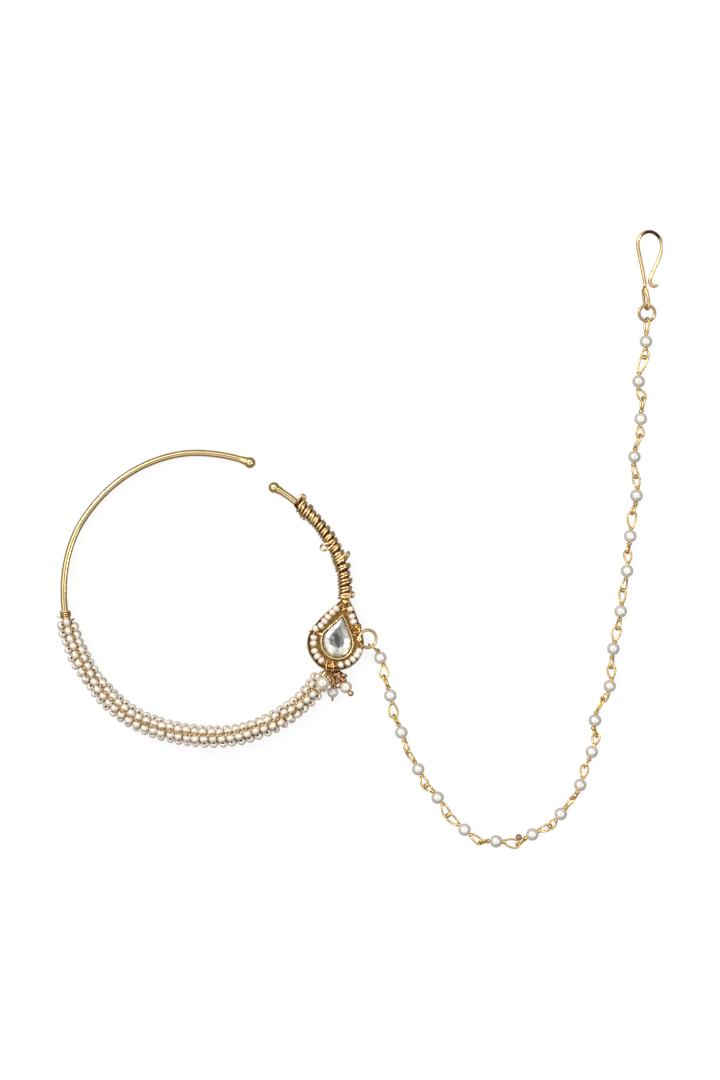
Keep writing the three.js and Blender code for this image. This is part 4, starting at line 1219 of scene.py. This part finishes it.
# %% Lumps, grain and eye
LUMPS = [
    # picture pixel, height in mm, three radii in mm, depth of the waves
    (345.5, 601.8, 0.9, (0.72, 0.5, 0.32), 0.1), (344, 608.6, 0.85, (0.62, 0.66, 0.4), 0.3),
    (352.5, 627, 0.8, (0.5, 0.55, 0.3), 0.35), (357.5, 626, 0.8, (0.7, 0.75, 0.42), 0.35),
    (359.3, 631.8, 0.8, (0.6, 0.7, 0.36), 0.35), (354.5, 633.5, 0.75, (0.5, 0.5, 0.3), 0.35),
    (331.5, 665.4, 0.8, (0.72, 0.5, 0.36), 0.3), (318.5, 632.8, 0.75, (0.6, 0.42, 0.26), 0.3),
]
GRAIN_PLACE = (320.5, 634, 1.0)
GRAIN_RADIUS = 0.42
EYE_HEIGHT = 1.73
EYE_BORE = 0.45
EYE_WALL = 0.22


def lump(place, size, waves, depth=0.18):
    """A ball of three radii whose surface rises and falls by sine waves."""
    points, faces = ball(1.0, sides=28, bands=17)
    swell = sum(np.sin(points @ wave * k + k) / k for k, wave in enumerate(waves, 1))
    return points * (1 + depth * swell[:, None]) * size + place, faces


random_waves = random.normal(0, 3.0, (12, 5, 3))
lumps = joined([
    lump(at_pixel(x, y, height), size, waves, depth)
    for (x, y, height, size, depth), waves in zip(LUMPS, random_waves)
])
# Painted shade: the lumps are darker towards their feet.
lump_painted_shade = np.clip(0.95 - (lumps[0][:, 2] - 0.72) / 0.42, 0, 1)
piece("solder_lumps", lifted(lumps), SETTING_GOLD, "gilt", recess=lump_painted_shade)
eye_outside = EYE_BORE + EYE_WALL
eye_profile = [(EYE_BORE, -0.43), (eye_outside - 0.04, -0.45), (eye_outside, -0.4),
               (eye_outside, 0.4), (eye_outside - 0.04, 0.45), (EYE_BORE, 0.43)]
eye_tube = copies(lathe(eye_profile, 24, ring=True), EYE + (0, 0, EYE_HEIGHT), upright_on([0, 1, 0]))
eye_foot = lump(EYE + (0.32, 0, 1.12), (0.46, 0.5, 0.42), random_waves[8], 0.05)
grain = copies(ball(GRAIN_RADIUS, 20, 13), at_pixel(*GRAIN_PLACE))
piece("eye_and_grain", lifted(joined([eye_tube, eye_foot, grain])), BEZEL_GOLD, "gilt",
      ["hoop_and_setting"])

# %% [markdown]
# ## The drops
# Three pearls hang below the setting on short pins with ball heads. Laid on the table,
# they roll aside: one climbs on the end of the sleeve and the others lie beside it. Their
# wires go back to a knot of loops under the dish.

# %% Drop pearls
DROP_WIRE = 0.34
DROP_HUB = (0.3, -1.05)
DROPS = [
    # x, y, height, diameter, turn of the pin, its rise, diameter of its ball, tint
    (-2.42, -2.4, 3.2, 2.48, 249, 0, 0.76, 0.05),
    (-0.52, -4.2, -0.33, 2.08, 268, 0, 0.5, 0.75),
    (1.95, -3.2, -0.18, 2.38, 309, 32, 1.1, 0.3),
]
edge = SETTING + (0, -SETTING_LENGTH / 2, 0)
hub = edge + (*DROP_HUB, SETTING_BASE)
drop_beads, drop_parts, drop_tints = [], [], []
for x, y, height, width, turn, rise, head, tint in DROPS:
    turn, rise = np.radians(turn), np.radians(rise)
    ahead = np.array([np.cos(turn) * np.cos(rise), np.sin(turn) * np.cos(rise), np.sin(rise)])
    place = edge + (x, y, height)
    bead = copies(drilled(width / 2, width / 2 * 0.97, 0.25, 28, 17), place, upright_on(ahead))
    reach = width / 2 + 0.1 + head / 2
    drop_beads.append(bead)
    drop_tints.append(np.full(len(bead[0]), tint))
    back = place - ahead * (reach - 0.12)
    bend = (back + hub) / 2 + (0, 0, 0.25)
    pin_line = through([place + ahead * (reach - head / 2), place, back, bend, hub], 30)
    drop_parts.append(tube(pin_line, DROP_WIRE / 2, UP))
    head_ball = drilled(head / 2, head / 2 * 0.92, head * 0.16, 20, 11)
    drop_parts.append(copies(head_ball, place + ahead * reach, upright_on(ahead)))
    collar = lathe([(0.2, -0.12), (0.42, -0.1), (0.46, 0), (0.36, 0.1), (0.2, 0.12)], 18)
    drop_parts.append(copies(collar, place - ahead * (width / 2 + 0.02), upright_on(ahead)))
piece("drop_beads", lifted(joined(drop_beads)), DROP_PEARL, "pearl",
      ["drop_pearl_1", "drop_pearl_2", "drop_pearl_3"], tint=np.concatenate(drop_tints))

# %% [markdown]
# ## The knot of wires under the dish
# The pins' wires were twisted together by hand, in a heap of small loops. Each loop is
# a ring a little out of true, in its own direction, and a lump of solder sits in the
# middle. Where they lie is a table of places read from the picture.

# %% Wires of the drops
DROP_LOOPS = [
    # picture pixel, height in mm, radius, direction that it turns round, wire, turns
    (331.5, 675, 0.1, 0.62, (0.5, 0.5, 1), 0.3, 1.3),
    (336.5, 673, 0.2, 0.72, (-0.3, 0.9, 0.7), 0.3, 1.4),
    (341, 676.5, 0.1, 0.66, (0.8, 0.2, 0.9), 0.3, 1.3),
    (336, 680.5, 0.0, 0.6, (-0.7, -0.3, 0.8), 0.3, 1.4),
    (342.5, 682, -0.1, 0.5, (0.3, 0.8, 0.9), 0.28, 1.3),
    (338, 676, 0.5, 0.5, (-0.9, 0.4, 0.5), 0.3, 1.8),
    (333, 679, 0.3, 0.52, (0.9, 0.5, 0.3), 0.3, 1.6),
    (344, 675.5, 0.4, 0.46, (0.2, -0.8, 0.5), 0.3, 1.5),
    (333.5, 684, 0.5, 0.5, (0.6, -0.5, 0.7), 0.32, 1.5),
    (338.5, 685, 0.2, 0.55, (-0.6, 0.3, 0.8), 0.32, 1.6),
    (329.5, 680.5, 0.6, 0.42, (0.1, 0.9, 0.5), 0.3, 1.5),
    (343.5, 679.5, 0.5, 0.5, (0.7, 0.6, 0.6), 0.32, 1.5),
]
KNOT_PLACE = (336.5, 674, 0.0)
KNOT_SIZE = (0.95, 0.7, 0.5)
HANGER_WIRE = 0.28
HANGER_LINES = [
    # corners of each wire over the dish's edge: picture pixel, height in mm
    [(327.5, 660, 0.95), (326.3, 665, 1.2), (326.6, 669.5, 1.42), (329, 673.5, 0.7), (333, 675.5, 0.2)],
    [(332.5, 661, 0.95), (333.4, 666, 1.25), (333.6, 670.3, 1.4), (334.5, 674, 0.5)],
    [(320.5, 672.5, 1.9), (325, 671, 1.5), (331, 672.5, 0.6)],
]


def loop_at(place, radius, normal, wire, turns=1.0, seed=0.0):
    """A ring or coil of wire round a direction, slightly out of true."""
    t = np.linspace(0, 2 * np.pi * turns, int(26 * turns))
    turning = upright_on(normal)[0]
    circle = np.stack([np.cos(t), np.sin(t), 0.06 * np.sin(2 * t + seed) + 0.16 * t / np.pi], -1) * radius
    return tube(place + circle @ turning.T, wire / 2, turning[:, 2], sides=9)


for seed, (x, y, height, radius, normal, wire, turns) in enumerate(DROP_LOOPS, 1):
    drop_parts.append(loop_at(at_pixel(x, y, height), radius, normal, wire, turns, seed))
drop_parts.append(lump(at_pixel(*KNOT_PLACE), KNOT_SIZE, random_waves[9], 0.3))
for corners in HANGER_LINES:
    drop_parts.append(loose_wire(corners, HANGER_WIRE, 4 * len(corners) + 4, 9))
drop_metal = joined(drop_parts)
# Painted shade: the wires and loops are darker towards the bottom.
drop_painted_shade = np.clip(0.55 - drop_metal[0][:, 2] * 0.45, 0.08, 0.85)
piece("drop_fittings", lifted(drop_metal), DROP_COPPER, "antique_gilt", ["drop_wires"],
      recess=drop_painted_shade)

# %% [markdown]
# ## Rings and chain
# Each pearl of the chain sits on its own piece of wire. The wire is bent into an eye at
# both ends and wound back round its neck, and each eye runs through the next one. A ring
# ties the chain to the rim and another ties it to the hook.

# %% Rings
RING_WIRE = 0.5
RING_SWELL = 0.03
RING_DIP = 17
PENDANT_RING = 1.67
HOOK_RING = 1.5
FIRST_LINK_TURN = -62
CHAIN_PEARL = 2.4
CHAIN_WIRE = 0.38
CHAIN_NECK = 0.4
CHAIN_EYE = 1.62
LAST_JOINT_HEIGHT = 1.0
LINK_GAP = 0.17


def cut_ring(middle, radius, out, across, cut):
    """A jump ring: a circle of wire, cut at one angle, its two ends almost touching."""
    turn = np.radians(cut + np.linspace(7, 353, 72))[:, None]
    path = middle + radius * (out * np.cos(turn) + across * np.sin(turn))
    return tube(path, RING_WIRE / 2 + RING_SWELL, np.cross(out, across), sides=12)


dip = np.radians(RING_DIP)
ring_out = np.array([np.cos(dip), 0, -np.sin(dip)])
ring_across = np.array([0.0, 1.0, 0.0])
pendant_middle = in_row(EYE + (0, 0, EYE_HEIGHT)) + ring_out * PENDANT_RING
chain_start = EYE[:2] + SHIFT[:2]
pearl_height = np.full(len(CHAIN_ROUTE), CHAIN_PEARL / 2)
route = np.column_stack([chain_start + CHAIN_ROUTE[:, :2], pearl_height])
joints = np.column_stack([chain_start + CHAIN_ROUTE[:, 2:4], pearl_height])
joints[-1, 2] = LAST_JOINT_HEIGHT
hook_ring_middle = joints[-1] + (0, HOOK_RING, 0)
pendant_ring = cut_ring(pendant_middle, PENDANT_RING, ring_out, ring_across, 205)
hook_ring = cut_ring(hook_ring_middle, HOOK_RING, np.array([1.0, 0, 0]), ring_across, 150)
piece("pendant_ring", pendant_ring, RING_GOLD, "gilt", ["pendant_jump_ring"])
piece("hook_ring", hook_ring, RING_GOLD, "gilt", ["hook_jump_ring"])

# %% [markdown]
# ## The chain's wires
# One link is one wire: an eye, the straight part inside the pearl, and the other eye.
# So a single tube follows the first eye and then the second one backwards, and the part
# between them is hidden in the pearl. A short helix winds round each neck.

# %% Chain wires
WRAP_WIRE = 0.3
WRAP_RADIUS = 0.33
WRAP_PITCH = 0.24
WRAP_START = 0.1


def eye_line(neck, end, roll, width, wire):
    """A drop-shaped eye: along by -a cos t, aside by b (sin t) to 0.8, times (1 - 0.25 cos t)."""
    along = unit(end - neck)
    length = np.linalg.norm(end - neck)
    flat = unit(np.cross(along, UP))
    side = flat * np.cos(np.radians(roll)) + np.cross(along, flat) * np.sin(np.radians(roll))
    t = np.radians(np.linspace(16, 360, 34))[:, None]
    bow = np.sign(np.sin(t)) * np.abs(np.sin(t)) ** 0.8
    aside = min(width / 2, length * 0.5) * bow * (1 - 0.25 * np.cos(t)) / 1.04
    return neck + along * length / 2 * (1 - np.cos(t)) + side * aside


def wrap_line(neck, along, radius, pitch, turns, lead):
    """Wire wound round a neck: a short helix that runs from the neck along a direction."""
    t = np.linspace(0, 1, int(18 * turns))[:, None]
    side, lift = upright_on(along)[0].T[:2]
    turn = 2 * np.pi * turns * t + lead
    return neck + along * pitch * turns * t + radius * (side * np.cos(turn) + lift * np.sin(turn))


def hooked(neck, contact, extra):
    """The middle of an eye's far side, when the eye runs round the wire at the contact."""
    return contact + unit(contact - neck) * extra


first_turn = np.radians(FIRST_LINK_TURN)
first_side = ring_out * np.cos(first_turn) + ring_across * np.sin(first_turn)
first_contact = pendant_middle + PENDANT_RING * first_side
entries = np.concatenate([[first_contact], joints[:-1]])
chain_along = unit(joints - entries)
link_reach = (CHAIN_WIRE + LINK_GAP) / 2
ring_reach = (CHAIN_WIRE + RING_WIRE) / 2 + LINK_GAP
rolls_in = np.append(90, CHAIN_ROUTE[:-1, 5])
wires = []
for n, (middle, along) in enumerate(zip(route, chain_along)):
    neck_reach = CHAIN_PEARL / 2 + CHAIN_NECK
    first_neck, last_neck = middle - along * neck_reach, middle + along * neck_reach
    first_end = hooked(first_neck, entries[n], ring_reach if n == 0 else link_reach)
    last_end = hooked(last_neck, joints[n], ring_reach if n == len(route) - 1 else link_reach)
    first = eye_line(first_neck, first_end, rolls_in[n], CHAIN_EYE, CHAIN_WIRE)
    last = eye_line(last_neck, last_end, -CHAIN_ROUTE[n, 4], CHAIN_EYE, CHAIN_WIRE)
    wires.append(tube(np.concatenate([first, last[::-1]]), CHAIN_WIRE / 2, UP, sides=10))
    turns = random.uniform(1.2, 1.9, 2)
    lead = random.uniform(0, 6.2, 2)
    for k, (neck, inward) in enumerate([(first_neck, along), (last_neck, -along)]):
        wound = wrap_line(neck - inward * WRAP_START, inward, WRAP_RADIUS, WRAP_PITCH, turns[k], lead[k])
        wires.append(tube(wound, WRAP_WIRE / 2, along, sides=8))
piece("chain_wires", joined(wires), CHAIN_GOLD, "gilt", [f"chain_wire_{n}" for n in LABELS])

# %% [markdown]
# ## The chain's pearls
# Every pearl is the same drilled bead, turned along its own link. They differ only a
# little in size, and each has its own tint number, because dipped pearls never match.

# %% Chain pearls
chain_bead = drilled(CHAIN_PEARL / 2, CHAIN_PEARL / 2 * 0.97, 0.24, sides=32, bands=21)
chain_beads = copies(chain_bead, route, upright_on(chain_along), random.uniform(0.97, 1.0, len(route)))
chain_tint = np.repeat(random.random(len(route)), len(chain_bead[0]))
piece("chain_beads", chain_beads, CHAIN_COAT, "pearl", [f"chain_pearl_{n}" for n in LABELS],
      tint=chain_tint)

# %% [markdown]
# ## A stray bead
# A small brown bead has slipped behind one joint of the chain, half hidden by its eyes.

# %% Brown bead
BROWN_BEAD = pearl("brown_bead", (0.36, 0.2, 0.13), (0.3, 0.18, 0.12), 0.2, 0.25, 1.0, 0.0)
BROWN_PIXEL = (519, 838)
BROWN_HEIGHT = 0.72
brown_place = from_pixel(*BROWN_PIXEL) + SHIFT + (0, 0, BROWN_HEIGHT)
brown = copies(drilled(0.7, 0.6, 0.2, 22, 13, 0.7), brown_place, upright_on([1, 0.15, 0]))
piece("brown_bead", brown, BROWN_BEAD, "pearl", tint=0.5)

# %% [markdown]
# ## The hair hook
# One thicker wire: an eye on the ring, its neck wound round, then a long crook that is
# squeezed narrow so that it grips a lock of hair, with a small curl at its tip.

# %% Hook
HOOK_WIRE = 0.64
HOOK_EYE = 1.5
HOOK_EYE_LENGTH = 4.1
HOOK_EYE_ROLL = 58
HOOK_EYE_TURN = 98
HOOK_PLACES = np.array([
    # picture pixel, lift as a share of the neck's height
    (645.4, 284, 1), (644.3, 277.7, 0.85), (642.2, 266.4, 0.5), (639.9, 255, 0.2), (638.2, 244.4, 0),
    (639.6, 237.3, 0), (644.4, 232.6, 0), (651, 231.2, 0), (657.6, 234.6, 0), (661.6, 240.9, 0),
    (662.3, 247.2, 0), (659.7, 257.2, 0), (655.2, 267.1, 0), (651.6, 275.6, 0), (650.2, 279.9, 0.02),
    (651.2, 283.7, 0.1), (653.9, 285.9, 0.2), (657.4, 285.2, 0.25),
])
HOOK_TOP = 7
HOOK_CROOK_POINTS = 170
HOOK_WRAP_WIRE = 0.38
HOOK_WRAP_RADIUS = 0.48
HOOK_WRAP_PITCH = 0.42
HOOK_WRAP_TURNS = 2.1
HOOK_WRAP_LEAD = 0.4


def hook_surface():
    """Eye and crook as one wire that thins a little towards its tip."""
    turn = np.radians(HOOK_EYE_TURN)
    along = np.array([np.cos(turn), np.sin(turn), 0])
    contact = joints[-1] + (0, 2 * HOOK_RING, 0)
    end = contact - along * ((HOOK_WIRE + RING_WIRE) / 2 + LINK_GAP)
    neck = end + along * HOOK_EYE_LENGTH
    eye = eye_line(neck, end, HOOK_EYE_ROLL, HOOK_EYE, HOOK_WIRE)
    low = HOOK_WIRE / 2
    corners = np.array([from_pixel(x, y) for x, y, _ in HOOK_PLACES]) + SHIFT
    corners[:, 2] = low + HOOK_PLACES[:, 2] * (neck[2] - low)
    crook = through(corners, HOOK_CROOK_POINTS)
    path = np.concatenate([eye, crook])
    stations = [0, len(eye), 60, len(path) - 12, len(path)]
    radius = np.interp(np.arange(len(path)), stations, [0.26, 0.3, low, low, low * 0.8])
    wound = wrap_line(neck - along * 1.3, along, HOOK_WRAP_RADIUS, HOOK_WRAP_PITCH,
                      HOOK_WRAP_TURNS, HOOK_WRAP_LEAD)
    return joined([tube(path, radius, UP, sides=14), tube(wound, HOOK_WRAP_WIRE / 2, along, sides=9)])


def hook_tarnish(points):
    """The dark bend: a soft band along the inside of the top of the crook."""
    top = from_pixel(*HOOK_PLACES[HOOK_TOP, :2]) + SHIFT
    far = points - top - (0, -1.4, 0)
    ring = np.hypot(far[:, 0], far[:, 1])
    inside = np.clip((2.0 - ring) / 0.35, 0, 1) * np.clip((far[:, 1] + 0.6) / 0.8, 0, 1)
    outer = np.clip(1 - np.abs(far[:, 0] - 0.2) / 0.7, 0, 1) * np.clip((far[:, 1] - 0.8) / 0.5, 0, 1)
    return np.maximum(inside, outer)


hook = hook_surface()
piece("hook_wire", hook, HOOK_GOLD, "gilt", ["hair_hook"], recess=hook_tarnish(hook[0]))

# %% What was made
print("triangles in all:", sum(pieces_made.values()))
print("box of the packed model:", cad_box)
